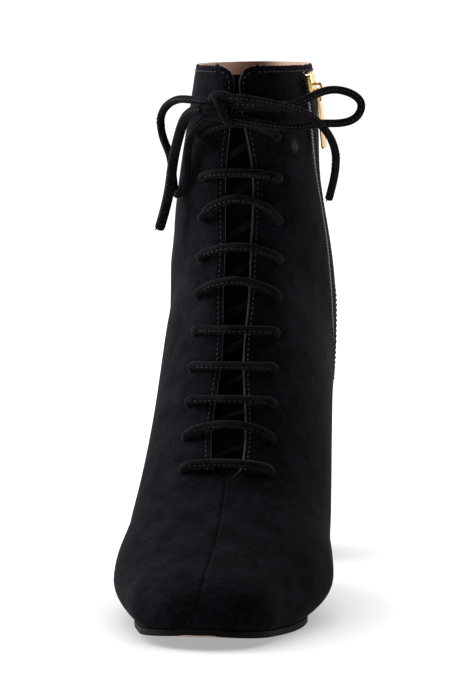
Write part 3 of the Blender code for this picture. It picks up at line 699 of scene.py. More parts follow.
def tube_rings(path, radius, sides, round_ends=True):
    """Rings of a round tube along a path, carried along without twist, its ends rounded off."""
    path = np.array(path, float)
    ahead = unit(np.gradient(path, axis=0))
    side = np.cross(ahead[0], [0.0, 0.0, 1.0])
    turns = np.arange(sides) * 2 * math.pi / sides
    circles = []
    for direction in ahead:
        side = unit(side - direction * np.dot(side, direction))
        other = np.cross(direction, side)
        circles.append(np.cos(turns)[:, None] * side + np.sin(turns)[:, None] * other)
    rings = [point + radius * circle for point, circle in zip(path, circles)]
    if not round_ends:
        return rings
    caps = [(1 - math.cos(angle), math.sin(angle)) for angle in np.radians((20, 45, 70))]
    start = [path[0] + radius * (0.6 * back * ahead[0] + wide * circles[0]) for back, wide in caps]
    end = [path[-1] + radius * (-0.6 * back * ahead[-1] + wide * circles[-1]) for back, wide in caps]
    inner = [ring for ring, point in zip(rings, path)
             if min(np.linalg.norm(point - path[0]), np.linalg.norm(point - path[-1])) > 0.6 * radius]
    return start + inner + end[::-1]


def bevel(piece, width, segments=2, angle=50.0):
    """Rounds off a piece's sharp edges."""
    step = piece.modifiers.new("rounding", "BEVEL")
    step.width = width * MM
    step.segments = segments
    step.limit_method = "ANGLE"
    step.angle_limit = math.radians(angle)


def cut(piece, cutter):
    """Takes the cutter out of a piece."""
    step = piece.modifiers.new(cutter.name, "BOOLEAN")
    step.operation = "DIFFERENCE"
    step.solver = "EXACT"
    step.object = cutter


# The upper

def eyelet_places():
    """The eyelets from the lowest pair up: along, half spacing."""
    for pair in range(EYELET_PAIRS):
        share = pair / (EYELET_PAIRS - 1)
        drop = EYELET_TOP_DROP if pair == EYELET_PAIRS - 1 else 0.0
        half = EYELET_HALF[0] + share * (EYELET_HALF[1] - EYELET_HALF[0])
        yield EYELET_FIRST + pair * EYELET_PITCH - drop, half


EYELET_ROWS = list(eyelet_places())
EYELETS = [front_point(along, x) for along, half in EYELET_ROWS for x in (-half, half)]

# Soft troughs (depth over 0) and swells (under 0) of the worn leather, between two places (s, z) on one side
FOLDS = (               # side, start, end, width, depth
    ("lateral", (98.0, 152.0), (62.0, 140.0), 6.0, 0.8),
    ("lateral", (108.0, 126.0), (70.0, 116.0), 7.0, 0.7),
    ("lateral", (104.0, 139.0), (66.0, 128.0), 6.0, -0.5),
    ("lateral", (8.0, 128.0), (34.0, 124.0), 7.0, 0.7),
    ("lateral", (40.0, 190.0), (58.0, 160.0), 9.0, 0.5),
    ("lateral", (176.0, 30.0), (186.0, 14.0), 5.0, 0.5),
    ("lateral", (160.0, 36.0), (150.0, 22.0), 7.0, 0.5),
    ("medial", (98.0, 150.0), (74.0, 140.0), 6.0, 0.7),
    ("medial", (108.0, 124.0), (76.0, 112.0), 7.0, 0.7),
    ("medial", (8.0, 127.0), (30.0, 124.0), 7.0, 0.6),
    ("medial", (40.0, 186.0), (52.0, 158.0), 9.0, 0.5),
    ("medial", (178.0, 30.0), (188.0, 14.0), 5.0, 0.5),
    ("medial", (152.0, 38.0), (142.0, 24.0), 7.0, 0.5),
)
SUEDE_WALL = 1.2
LINING_BACK = 0.8       # how far the lining's edge stays behind the suede's
FRONT_FROM = 60.0       # s from which the middle is the front's, with throat and vamp seam
BACK_UP_TO = 40.0       # s up to which it is the back's
SEAM_DEPTH = 0.5
SEAM_WIDTH = 0.55
THROAT_PRESS = 0.35     # how deep the sewn edges of throat and collar are pressed in
COLLAR_PRESS = 0.3
EDGE_WIDTH = 0.5
ROW_PRESS = 0.22        # how deep a row of stitches pulls in
THROAT_ROW_WIDTH = 0.6
COLLAR_ROW_WIDTH = 0.7
EYELET_PRESS = 0.5
EYELET_DIP = 3.6
STITCH_INSET = 2.1      # rows of stitches from the edges of throat and collar
COLLAR_ROW = COLLAR_HEIGHT - STITCH_INSET - 0.4     # height of the row below the topline
THROAT_TOP = 14.75      # section where the throat's edge turns into the topline
LINING_START = 0.15     # section where the lining begins behind the toe tip
RIM_HIGHLIGHT_COLUMNS = {"lateral": 1, "medial": 2}       # how many mesh columns of the throat's edge carry a painted highlight
# Distances of the mesh lines from the throat's edge or the vamp seam
EDGE_STEPS = (0.0, 0.3, 0.7, 1.2, 1.8, 2.4, 3.2, 4.4, 6.2)
# The v of the mesh lines below the widest place
LOW_STEPS = (0.0, 0.006, 0.014, 0.026, 0.045, 0.075, 0.12, 0.18, 0.25, 0.34, 0.44, 0.55, 0.67, 0.8, 0.92)


def toe_stations(start, count):
    """Section numbers from a share of the toe to the ball, closer at the tip."""
    return BALL * np.linspace(start, 1, count) ** 1.7


def heel_stations(end, count, power=1.6):
    """Section numbers behind the seat up to a share before the heel's tip, closer at the tip."""
    return HEEL_TIP - np.linspace(1, end, count)[1:] ** power


def upper_stations():
    """Section numbers of the mesh rows, closer at the toe, the throat's bottom, the heel and the collar."""
    toe = toe_stations(0, 44)
    vamp = np.linspace(BALL, THROAT_BOTTOM - 0.03, 20)[1:]
    throat = THROAT_BOTTOM + 0.5 * np.linspace(0, 1, 14) ** 2
    foot = np.linspace(THROAT_BOTTOM + 0.5, SEAT, 44)[1:]
    heel = heel_stations(0, 18)
    shaft = np.linspace(HEEL_TIP, 14.6, 74)[1:]
    collar = COLLAR - 0.4 * np.linspace(1, 0, 14)[1:] ** 1.6
    return np.concatenate([toe, vamp, throat, foot, heel, shaft, collar])


def upper_columns(stations, side, back):
    """The v of each mesh point, close by the back seam and the throat's edge, which may be set back."""
    start = half_gap(stations) + np.where(stations > THROAT_BOTTOM, back, 0.0)
    edge = np.stack([ridge_v(stations, start + step, side) for step in EDGE_STEPS], -1)
    edge[stations == 0.0, 0] = 2.0
    share = np.linspace(0, 1, 27)[:-1]
    middle = 1 + (edge[:, -1:] - 1) * share
    return np.concatenate([np.tile(LOW_STEPS, (len(stations), 1)), middle, edge[:, ::-1]], 1)


def fold_depth(points, side):
    """How deep the folds of one side press in."""
    depth = np.zeros(points.shape[:-1])
    for fold_side, start, end, width, deep in FOLDS:
        if fold_side != side:
            continue
        line = []
        for share in np.linspace(0, 1, 9):
            s, z = np.array(start) + share * (np.array(end) - np.array(start))
            line.append(side_point(s, z, side)[0])
        away = np.stack([np.linalg.norm(points - point, axis=-1) for point in line])
        fade = np.sin(math.pi * (0.1 + 0.8 * away.argmin(0) / 8))
        depth += deep * fade * bell(away.min(0), width)
    return depth


def relief(points, stations, side):
    """How far seams, stitched edges and eyelets press into the surface."""
    t = stations[:, None]
    half = np.abs(points[..., 0] - LINES["swing"](t))
    from_edge = np.maximum(half - half_gap(t), 0)
    open_front = t > THROAT_BOTTOM
    toe_fade = np.clip((t - 0.25) / 0.5, 0, 1)
    seam = SEAM_DEPTH * bell(half, SEAM_WIDTH)
    stitched = THROAT_PRESS * np.exp(-from_edge / EDGE_WIDTH)
    stitched = stitched + ROW_PRESS * bell(from_edge - STITCH_INSET, THROAT_ROW_WIDTH)
    front = points[..., 1] > FRONT_FROM
    depth = np.where(front, np.where(open_front, stitched, toe_fade * seam), 0.0)
    below_top = COLLAR_HEIGHT - points[..., 2]
    depth += COLLAR_PRESS * np.exp(-np.maximum(below_top, 0) / EDGE_WIDTH)
    depth += ROW_PRESS * bell(COLLAR_ROW - points[..., 2], COLLAR_ROW_WIDTH)
    back = (t >= HEEL_TIP) & (points[..., 1] < BACK_UP_TO)
    depth += np.where(back, seam, 0.0)
    for point, _ in EYELETS:
        depth += EYELET_PRESS * bell(np.linalg.norm(points - point, axis=-1), EYELET_DIP)
    return depth


def upper_sheet(name, inset, back, detail):
    """The open sheet of the upper at a depth under its outside, both halves joined on their seams."""
    stations = upper_stations()
    if not detail:
        stations = stations[stations > LINING_START]
    build = bmesh.new()
    for side in SIGN:
        points, normals = skin(stations[:, None], upper_columns(stations, side, back), side)
        depth = inset + fold_depth(points, side)
        if detail:
            depth = depth + relief(points, stations, side)
        grid = add_grid(build, points - depth[..., None] * normals)
        for station, row in zip(stations, grid):
            # the lighter edge colour on these columns of the throat's edge is a painted highlight
            if THROAT_BOTTOM < station < THROAT_TOP:
                for face in row[-RIM_HIGHLIGHT_COLUMNS[side]].link_faces:
                    face.material_index = 1
    return mesh_of(name, build)


def peg_cutter(name, radius):
    """One mesh of round pegs, one through each eyelet."""
    build = bmesh.new()
    for point, normal in EYELETS:
        add_rings(build, tube_rings([point - 6 * normal, point + 4 * normal], radius, 20, False), 2)
    return add_object(mesh_of(name, build), SUEDE, EDGE, EDGE)


def zip_strip(top, bottom, halves, depth, count):
    """A grid on the inner side along the zip: rows from top to bottom, columns across, at a depth."""
    heights = np.linspace(top, bottom, count)
    return np.array([sunk([zip_point(q, z) for q in halves], depth) for z in heights])


def zip_cutter(name):
    """A bar along the zip's line that opens the wall from the collar down."""
    halves = (-ZIP_SLOT, ZIP_SLOT)
    outer, inner = (zip_strip(COLLAR_HEIGHT + 4, ZIP_BOTTOM, halves, depth, 60) for depth in (-3.0, 5.0))
    return add_object(slab(name, outer, inner, (2, 2, 2)), SUEDE, EDGE, EDGE)


def make_upper():
    """The suede outside and the lining, with the eyelets and the zip's slot cut through both."""
    layers = (
        ("upper_suede", 0.0, SUEDE_WALL, 0.0, True, (SUEDE, EDGE, EDGE)),
        ("upper_lining", SUEDE_WALL, WALL - SUEDE_WALL, LINING_BACK, False, (LINING, LINING, EDGE)),
    )
    pegs = peg_cutter("eyelet_pegs", EYELET / 2)
    bar = zip_cutter("zip_bar")
    pieces = []
    for name, inset, wall, back, detail, looks in layers:
        piece = add_object(upper_sheet(name, inset, back, detail), *looks)
        shell = piece.modifiers.new("wall", "SOLIDIFY")
        shell.thickness = wall * MM
        shell.offset = -1.0
        shell.material_offset_rim = 1
        cut(piece, pegs)
        cut(piece, bar)
        pieces.append(finished(piece))
    for tool in (pegs, bar):
        bpy.data.objects.remove(tool, do_unlink=True)
    dress(pieces[0], "suede", "upper")
    dress(pieces[1], "lining_leather")


# Stitches

STITCH_PITCH = 2.3
STITCH_LENGTH = 1.5
STITCH_WIDE = 0.55
ZIP_ROW = ZIP_SLOT + 2.0            # rows beside the slot, from the zip's line
ZIP_ROW_TOP = COLLAR_HEIGHT - 4.5
ZIP_ROW_END = ZIP_BOTTOM - 2.5
BACK_ROW = 1.5                      # the row beside the back seam, from it
BACK_ROW_ENDS = (14.9, 12.95)       # sections it runs between
COUNTER_STOP = ZIP_SLOT + 3.0       # the counter's row on the inner side, from the zip's line
STITCH_FORM = (         # along a thread, its thickness there
    (-0.5, 0.0), (-0.42, 0.55), (-0.2, 1.0), (0.2, 1.0), (0.42, 0.55), (0.5, 0.0),
)


def stitch_mesh(name, rows, length, wide, lift=0.1):
    """One mesh of small flat-lying threads: rows of (points, outward directions)."""
    turns = np.arange(6)[:, None] * math.pi / 3
    build = bmesh.new()
    for points, outs in rows:
        ahead = unit(np.gradient(points, axis=0))
        for point, direction, out in zip(points, ahead, unit(outs)):
            ring = np.cos(turns) * np.cross(direction, out) + np.sin(turns) * out
            rings = []
            for along, size in STITCH_FORM:
                middle = point + direction * along * length + out * lift * (1 - (2 * along) ** 2)
                rings.append(middle + ring * size * wide / 2)
            add_grid(build, np.array(rings), closed=True)
    return mesh_of(name, build)


def stitches_along(points, outs, pitch):
    """Stitch middles at even steps along a line on the surface."""
    both = even_path(np.concatenate([points, outs], 1), pitch)
    return both[:, :3], both[:, 3:]


def throat_stitches(side):
    """A row up the edge of the throat and over its top corner."""
    t = np.interp(np.linspace(4.0, ALONG[-1], 400), ALONG, FINE)
    t = t[ridge(t)[1] < COLLAR_ROW]
    return skin(t, ridge_v(t, half_gap(t, STITCH_INSET), side), side)


def collar_stitches(side):
    """A row below the topline, from the throat's corner to the back seam."""
    rows = []
    top = ridge_v(COLLAR, half_gap(COLLAR, STITCH_INSET), side)
    for v in np.linspace(float(top), 0.03, 160):
        heights = surface(FINE[-150:], v, side)[:, 2]
        rows.append(skin(float(np.interp(COLLAR_ROW, heights, FINE[-150:])), v, side))
    return both_arrays(rows)


def back_stitches():
    """A row beside the back seam, from the collar to the counter."""
    t = np.linspace(*BACK_ROW_ENDS, 200)
    v = np.arcsin(BACK_ROW / wide_half(t, "medial")) * 2 / math.pi
    return skin(t, v, "medial")


ARCH_BACK = ((0.0, 143.2), (5.0, 142.9), (10.0, 141.9), (15.0, 139.6))      # out from the seam, z
ARCH_SIDE = ((21.0, 135.6), (31.0, 126.0), (40.0, 110.0), (46.0, 92.0), (51.0, 66.0))    # s, z


def back_point(x, z, side):
    """Point and outward direction beside the back seam, at a distance out from it and a height."""
    back = FINE[FINE >= HEEL_TIP]
    v = np.arcsin(x / wide_half(back, side)) * 2 / math.pi
    heights = surface(back, v, side)[:, 2]
    return skin(np.interp(z, heights, back), np.interp(z, heights, v), side)


def counter_stitches(side):
    """The arched row that holds the counter; on the inner side it ends at the zip."""
    rows = [back_point(x, z, side) for x, z in ARCH_BACK]
    for s, z, _ in smooth_path([(s, z, 0.0) for s, z in ARCH_SIDE], 40):
        if side == "lateral" or s < zip_s(-z) - COUNTER_STOP:
            rows.append(side_point(s, z, side))
    points, outs = both_arrays(rows)
    share = np.linspace(0, len(rows) - 1, 160)
    outs = np.stack([np.interp(share, range(len(rows)), outs[:, i]) for i in range(3)], -1)
    return smooth_path(points, 160), outs


def zip_stitches(q):
    """A row along one side of the zip's slot."""
    return both_arrays([zip_point(q, z) for z in np.linspace(ZIP_ROW_TOP, ZIP_ROW_END, 120)])


def zip_end_stitches():
    """The row across the lower end of the zip."""
    return both_arrays([zip_point(q, ZIP_ROW_END) for q in np.linspace(-ZIP_ROW, ZIP_ROW, 12)])


def make_stitches():
    """Every sewn row of the upper as one piece."""
    rows = [throat_stitches(side) for side in SIGN] + [collar_stitches(side) for side in SIGN]
    rows += [counter_stitches(side) for side in SIGN] + [back_stitches()]
    rows += [zip_stitches(q) for q in (-ZIP_ROW, ZIP_ROW)] + [zip_end_stitches()]
    rows = [stitches_along(points, outs, STITCH_PITCH) for points, outs in rows]
    add_piece(stitch_mesh("stitches", rows, STITCH_LENGTH, STITCH_WIDE), [THREAD], "suede")


# Tongue, insole, outsole and heel

TONGUE_START = -11.0
TONGUE_END = 176.5
TONGUE_HALF = ((TONGUE_START, 15.0), (4.0, 21.0), (60.0, 22.0), (176.0, 18.5))     # along, half width
INSOLE_INSET = WALL + 1.8       # from the upper's outside
INSOLE_CROWN = 0.7
HEEL_INSET = 0.8                # of the block's outline from the feather line
HEEL_TOP_LEVEL = 54.0           # the block's last level outline below the seat
HEEL_CURVE = 1.4                # how late the block's sides turn in, from the seat down


def make_tongue():
    """The tongue behind the throat."""
    alongs = np.concatenate([np.linspace(TONGUE_START, 5.0, 12), np.linspace(8.0, TONGUE_END, 60)])
    halves = np.linspace(-1, 1, 25)
    outer, inner = [], []
    for along in alongs:
        width = float(np.interp(along, *zip(*TONGUE_HALF)))
        depth = float(np.interp(along, [TONGUE_START, -2], [WALL + 0.5, TONGUE_DEPTH]))
        rows = [front_point(along, half * width) for half in halves]
        outer.append(sunk(rows, depth))
        inner.append(sunk(rows, depth + TONGUE))
    made = slab("tongue_leather", np.array(outer), np.array(inner), (0, 1, 0))
    add_piece(made, [TONGUE_LEATHER, LINING], "tongue_leather", "tongue", rounding=(0.6,))


def seat_outline(stations, margin):
    """The seat's lateral and medial edges as (x, s), moved outwards by a margin at each station."""
    edges = []
    for side, sign in SIGN.items():
        edge = np.stack([LINES["swing"](stations) + sign * seat_half(stations, side), base(stations)[0]], -1)
        ahead = np.gradient(edge, axis=0)
        out = sign * np.stack([-ahead[:, 1], ahead[:, 0]], -1)
        edges.append(edge + unit(out) * margin[:, None])
    return edges


def seat_grid(stations, margin, columns):
    """Points (x, s) over the seat between its two moved edges."""
    lateral, medial = seat_outline(stations, margin)
    share = np.linspace(0, 1, columns)[None, :, None]
    return lateral[:, None] * (1 - share) + medial[:, None] * share


def make_insole():
    """The insole, a little crowned over its padding."""
    foot = np.linspace(BALL + 0.1, SEAT, 60)
    stations = np.concatenate([toe_stations(0.05, 30), foot, heel_stations(0.12, 14)])
    grid = seat_grid(stations, np.full(len(stations), -INSOLE_INSET), 13)
    grid = grid[grid[:, -1, 0] - grid[:, 0, 0] > 8.0]
    z = feather_z(grid[..., 1])
    crown = INSOLE_CROWN * (1 - np.linspace(-1, 1, 13) ** 2)[None, :]
    made = slab("insole_leather", np.dstack([grid, z + INSOLE - 0.4 + crown]), np.dstack([grid, z]))
    add_piece(made, [LINING], "lining_leather", "insole", rounding=(0.5,))


def make_outsole():
    """The outsole with its dyed edge and bare underside."""
    breast = seat_station(HEEL_BREAST + GAP)
    stations = np.concatenate([toe_stations(0, 44), np.linspace(BALL, breast, 60)[1:]])
    margin = np.interp(stations, [0, BALL, THROAT, breast], [SOLE_EDGE, SOLE_EDGE, -0.5, -1.2])
    grid = seat_grid(stations, margin, 13)
    grid[-1, :, 1] = HEEL_BREAST + GAP
    z = feather_z(grid[..., 1])
    made = slab("outsole_leather", np.dstack([grid, z - GAP]), np.dstack([grid, z - GAP - SOLE]), (0, 1, 0))
    add_piece(made, [SOLE_BLACK, SOLE_BEIGE], "sole_leather", "outsole", rounding=(0.8, 3))


def heel_plan():
    """The heel's outline at the seat and at the floor as (x, s), and the height of the seat over it."""
    breast = seat_station(HEEL_BREAST)
    stations = np.concatenate([[breast], np.linspace(SEAT - 0.5, SEAT, 6), heel_stations(0.03, 24, 1.3)])
    lateral, medial = seat_outline(stations, np.full(len(stations), -HEEL_INSET))
    lateral[0, 1] = medial[0, 1] = HEEL_BREAST
    front = medial[0] + np.linspace(0, 1, 13)[1:-1, None] * (lateral[0] - medial[0])
    top = np.concatenate([lateral, medial[::-1], front])
    middle = top[:len(lateral) * 2, 0].mean()
    bottom_x = middle + (top[:, 0] - middle) * HEEL_FLARE
    bottom_s = HEEL_BREAST - HEEL_SLANT + (top[:, 1] - HEEL_BREAST) * HEEL_TAPER
    return top, np.stack([bottom_x, bottom_s], -1), feather_z(top[:, 1]) - GAP


def heel_level(z):
    """Outline of the heel at a height, or at the seat for None."""
    top, bottom, top_z = heel_plan()
    share = np.zeros(len(top)) if z is None else 1 - z / top_z
    plan = top + (bottom - top) * (share ** HEEL_CURVE)[:, None]
    return np.column_stack([plan, top_z if z is None else np.full(len(top), z)])


def make_heel():
    """The covered heel block and the rubber top piece it stands on."""
    levels = [heel_level(z) for z in np.linspace(TOP_PIECE + GAP, HEEL_TOP_LEVEL, 30)] + [heel_level(None)]
    add_piece(loft("heel_suede", levels), [SUEDE], "heel_cover", "heel_block", rounding=(0.7, 3))
    made = loft("heel_rubber_piece", [heel_level(z) for z in (0.0, TOP_PIECE)])
    add_piece(made, [RUBBER], "heel_rubber", "heel_top_piece", rounding=(0.45, 3))


# The zip

TAPE_TOP = COLLAR_HEIGHT - 2.0
TAPE_END = ZIP_BOTTOM - 5.0
COIL_END = ZIP_BOTTOM + 0.5
TAPE_HALF = 8.0
TAPE_DEPTH = WALL + 0.9
TAPE_THICK = 0.8
TOOTH_PITCH = 1.45
TOOTH_REACH = (-0.5, 0.7, 1.9)      # places of a tooth's rod, across the zip's line
TOOTH_RADIUS = 0.52
TOOTH_DEPTH = 0.75


def make_tape():
    """The woven tape behind the slot."""
    halves = np.linspace(-TAPE_HALF, TAPE_HALF, 13)
    outer, inner = (zip_strip(TAPE_TOP, TAPE_END, halves, depth, 70)
                    for depth in (TAPE_DEPTH, TAPE_DEPTH + TAPE_THICK))
    add_piece(slab("zip_tape_cloth", outer, inner), [TAPE], "zip_fabric", "zip_tape")


def make_coil():
    """The closed coil in the slot, a short rounded rod for each turn on either side."""
    heights = np.linspace(TAPE_TOP, COIL_END, 400)
    count = int(path_length(np.array([zip_point(0.0, z)[0] for z in heights])) / TOOTH_PITCH)
    build = bmesh.new()
    for i in range(count):
        z = float(np.interp((i + 0.5) / count, np.linspace(0, 1, len(heights)), heights))
        for sign, shift in ((-1, 0.0), (1, TOOTH_PITCH / 2)):
            places = [side_point(float(zip_s(-z)) + sign * q, z - shift) for q in TOOTH_REACH]
            add_rings(build, tube_rings(smooth_path(sunk(places, TOOTH_DEPTH), 7), TOOTH_RADIUS, 8))
    add_piece(mesh_of("zip_coil", build), [COIL], "zip_coil", "zip_chain", angle=60.0)


SLIDER_FOOT = 0.4
SLIDER_BODY = 2.6
HINGE_DOWN = 2.0
HINGE_OUT = SLIDER_FOOT + SLIDER_BODY + 1.3
PULL_THICK = 1.4
PULL_LEAN = 4.0
SLIDER_PLAN = ((-3.6, 5.5), (3.6, 5.5), (3.6, 0.5), (2.7, -5.5), (-2.7, -5.5), (-3.6, 0.5))
BRIDGE = (              # along the zip, height over the slider's top
    (-5.2, -0.4), (-5.0, 2.2), (-3.9, 3.6), (0.0, 3.6), (1.1, 2.2), (1.2, -0.4),
    (0.1, -0.4), (0.0, 1.9), (-0.6, 2.6), (-3.4, 2.6), (-4.0, 1.9), (-4.1, -0.4),
)
PULL_PLAN = ((-2.0, 0.7), (2.0, 0.7), (2.6, 0.7 - PULL_LENGTH), (-2.6, 0.7 - PULL_LENGTH))
PULL_EYE = ((-1.2, -0.7), (1.2, -0.7), (1.4, -5.2), (-1.4, -5.2))


def zip_seat():
    """The slider's own frame: across, up along the zip and out of the surface."""
    point, out = zip_point(0.0, SLIDER_Z)
    low, _ = zip_point(0.0, SLIDER_Z - 20)
    up = point - low
    up = unit(up - out * np.dot(up, out))
    out, up = (direction * (1, -1, 1) for direction in (out, up))
    turn = Matrix(np.stack([np.cross(up, out), up, out], 1).tolist()).to_4x4()
    return Matrix.Translation(Vector(place(point))) @ turn


def plate(name, outline, low, high):
    """A flat gold plate of an outline in local millimetres, between two heights."""
    build = bmesh.new()
    lower, upper = [[build.verts.new((x * MM, y * MM, z * MM)) for x, y in outline] for z in (low, high)]
    for corners in zip(lower, lower[1:] + lower[:1], upper[1:] + upper[:1], upper):
        build.faces.new(corners)
    build.faces.new(lower)
    build.faces.new(upper)
    return add_object(mesh_of(name, build), GOLD)


def round_corners(corners, radius, steps=6):
    """An outline with its corners turned into arcs."""
    outline = []
    count = len(corners)
    for i, corner in enumerate(corners):
        before = unit(np.array(corners[i - 1], float) - corner)
        after = unit(np.array(corners[(i + 1) % count], float) - corner)
        for share in np.linspace(0, 1, steps):
            start = corner + before * radius * (1 - share) ** 2
            outline.append(start + after * radius * share ** 2)
    return outline


def make_slider():
    """The gold slider with its bridge, and the pull hanging from it."""
    seat = zip_seat()
    top = SLIDER_FOOT + SLIDER_BODY
    slider = plate("slider_gold", round_corners(SLIDER_PLAN, 1.6), SLIDER_FOOT, top)
    bridge = plate("slider_bridge", [(y, top + rise) for y, rise in BRIDGE], -0.9, 0.9)
    stand = Matrix(((0, 0, 1, 0), (1, 0, 0, 0), (0, 1, 0, 0), (0, 0, 0, 1)))
    bridge.data.transform(stand)
    for piece in (slider, bridge):
        bevel(piece, 0.4, 3, 30.0)
        piece.data.transform(seat)
        finished(piece, 35.0)
    dress(slider, "zip_metal", "zip_slider")
    dress(bridge, "zip_metal")

    pull = plate("pull_gold", round_corners(PULL_PLAN, 1.5), -PULL_THICK / 2, PULL_THICK / 2)
    eye = plate("pull_eye", round_corners(PULL_EYE, 0.9), -3.0, 3.0)
    cut(pull, eye)
    bevel(pull, 0.35, 3, 30.0)
    finished(pull, 35.0)
    bpy.data.objects.remove(eye, do_unlink=True)
    hinge = seat @ Matrix.Translation(Vector((0.0, -HINGE_DOWN, HINGE_OUT)) * MM)
    pull.data.transform(hinge @ Matrix.Rotation(math.radians(PULL_LEAN), 4, "X"))
    dress(pull, "zip_metal", "zip_pull", body="pull")


# The lace

LACE_SIDES = 14
LACE_STITCH = (1.2, 0.5, 0.04)      # length, width, lift
LACE_STITCH_PITCH = 2.0
# The lace through an eyelet: out of the surface, towards the throat
EYELET_STEPS = ((-3.4, 0.7), (-1.6, 0.0), (0.3, 0.0), (1.8, 0.8))
BOW_DIAMETERS = {"lace_end_left": 4.4}     # this end lies on its broad side


def lace_path():
    """The lace from behind the lowest inner eyelet, bar by bar, to the strand out of the top inner eyelet."""
    path = []

    def through(pair, sign, outward):
        """Points through an eyelet, from the inside out or back in."""
        along, half = EYELET_ROWS[pair]
        point, normal = front_point(along, sign * half)
        lean = np.array([-sign, 0.0, 0.0])
        steps = [point + out * normal + inward * lean for out, inward in EYELET_STEPS]
        return steps if outward else steps[::-1]

    def run(start, end, depth, rise, count):
        """Points over or under the surface between two places (along, x), arched up by a rise."""
        steps = []
        for share in np.linspace(0, 1, count + 2)[1:-1]:
            along = start[0] + (end[0] - start[0]) * share + rise * (1 - (2 * share - 1) ** 2)
            steps.append(front_point(along, start[1] + (end[1] - start[1]) * share))
        return sunk(steps, depth)

    for pair in range(EYELET_PAIRS - 1):
        along, half = EYELET_ROWS[pair]
        path += through(pair, 1, True)
        path += run((along, half - 0.5), (along, -half + 0.5), -LACE_LIFT, BAR_RISE[pair], 7)
        path += through(pair, -1, False)
        path += run((along, -half), EYELET_ROWS[pair + 1], LACE_DEPTH, 0.0, 4)
    along, half = EYELET_ROWS[-1]
    path += through(EYELET_PAIRS - 1, 1, True)
    return path + run((along, half - 0.5), (along - 2.0, -4.0), -LACE_LIFT, 0.0, 4)


def cord_piece(node, path, diameter=LACE):
    """A smooth cord of lace suede along a path, as the piece of a lace node."""
    made = loft(node + "_suede", tube_rings(path, diameter / 2, LACE_SIDES))
    return add_piece(made, [LACE_SUEDE], "lace", node, angle=60.0)


def make_lace_bars():
    """The bars over the throat and the runs behind the quarters."""
    points = lace_path()
    path = smooth_path(points, int(path_length(points)))
    cord_piece("lace_bars", path)
    return path


def cord_stitches(path, outs, diameter=LACE):
    """Stitches of the lace's own seam along one side of it."""
    points, outs = stitches_along(path, outs, LACE_STITCH_PITCH)
    outs = unit(outs)
    return points + outs * (diameter / 2 - 0.05), outs


def make_bow():
    """The loops and ends of the bow as free cords."""
    rows = []
    for name, places in BOW.items():
        path = smooth_path(places, 110)
        diameter = BOW_DIAMETERS.get(name, LACE)
        piece = cord_piece(name, path, diameter)
        away = unit(np.cross(np.gradient(path, axis=0), [0.0, 0.0, 1.0]))
        away *= np.where(away[:, 1:2] < 0, -1.0, 1.0)
        rows.append(cord_stitches(path, away, diameter))
    return rows


# The knot's strands, as a few places (x, s, z) along each
KNOT_STRANDS = (
    ((-15.0, 107.0, 200.5), (-9.0, 110.4, 200.8), (-1.6, 112.0, 199.6)),
    ((-14.6, 107.0, 194.5), (-9.0, 110.2, 194.0), (-1.6, 112.0, 193.5)),
    ((-16.0, 111.4, 197.6), (-11.5, 113.4, 197.0), (-7.5, 112.0, 196.0)),
    ((-3.2, 116.5, 202.4), (-7.5, 115.4, 203.6), (-11.2, 112.4, 202.6), (-12.0, 110.0, 200.0)),
    ((-11.2, 112.6, 203.8), (-9.4, 115.0, 201.6), (-7.4, 115.9, 197.6), (-5.6, 115.2, 193.8),
     (-4.6, 112.8, 191.4)),
)


def make_knot():
    """The knot: strands passing through each other, drawn together into one soft lump."""
    build = bmesh.new()
    along, half = EYELET_ROWS[-1]
    point, normal = front_point(along, -half)
    lead = (point - 2.5 * normal, point + 1.8 * normal, point + 4.0 * normal + (4.0, 0.0, 1.5),
            (-9.0, 109.4, 197.0))
    for strand in KNOT_STRANDS + (lead,):
        add_rings(build, tube_rings(smooth_path(strand, 24), LACE / 2, LACE_SIDES))
    piece = add_object(mesh_of("lace_knot_suede", build), LACE_SUEDE)
    melt = piece.modifiers.new("joined", "REMESH")
    melt.mode = "VOXEL"
    melt.voxel_size = 0.22 * MM
    soft = piece.modifiers.new("soft", "SMOOTH")
    soft.factor = 0.5
    soft.iterations = 4
    dress(finished(piece, 80.0), "lace", "lace_knot")


def visible_bars(path, outs):
    """Stitches on the stretches of the lace that lie over the throat."""
    rows = []
    for (along, _), rise in zip(EYELET_ROWS, BAR_RISE):
        middle, _ = front_point(along + rise, 0.0)
        centre = int(np.linalg.norm(path - middle, axis=1).argmin())
        stretch = slice(max(centre - 15, 0), centre + 16)
        rows.append(cord_stitches(path[stretch], outs[stretch]))
    return rows


def make_lace():
    """The whole lace with the stitches of its seam."""
    path = make_lace_bars()
    rows = make_bow()
    make_knot()
    outs = np.gradient(path, axis=0)
    outs = unit(np.cross(outs, np.cross([0.0, 1.0, -0.35], outs)))
    rows += visible_bars(path, outs)
    add_piece(stitch_mesh("lace_stitches", rows, *LACE_STITCH), [LACE_THREAD], "lace")


# The studio

CAMERA_AT = Vector((0.165, -1.224, 0.243))
CAMERA_AWAY = Vector((-0.0872, 0.9962, 0.0))
CAMERA_RIGHT = Vector((0.9962, 0.0872, 0.0))
PHOTO_FOCUS = 2431.0            # focal length of the photograph in its pixels
PHOTO_AXIS = (233.5, 69.4)      # pixel straight ahead of the level camera
AIM_PIXEL = (113.0, 352.0)      # pixel of the photograph in the middle of the picture
ENLARGE = 1.25
PICTURE_HEIGHT = 700.0
ROOM_LIGHT = 0.08
FLOOR_GLOW = 1.0
SHADOW_REACH = 0.042            # how far from the boot the floor darkens, in metres
FLOOR_SHADE = ((0.25, 0.36), (0.9, 0.78), (1.0, 1.0))       # openness of the floor, share of its glow


def aim(data, at, ahead):
    """Puts a camera or a light in the scene, at a place and turned to a direction."""
    thing = bpy.data.objects.new(data.name, data)
    bpy.context.collection.objects.link(thing)
    thing.location = at
    thing.rotation_mode = "QUATERNION"
    thing.rotation_quaternion = ahead.to_track_quat("-Z", "Y")
    return thing


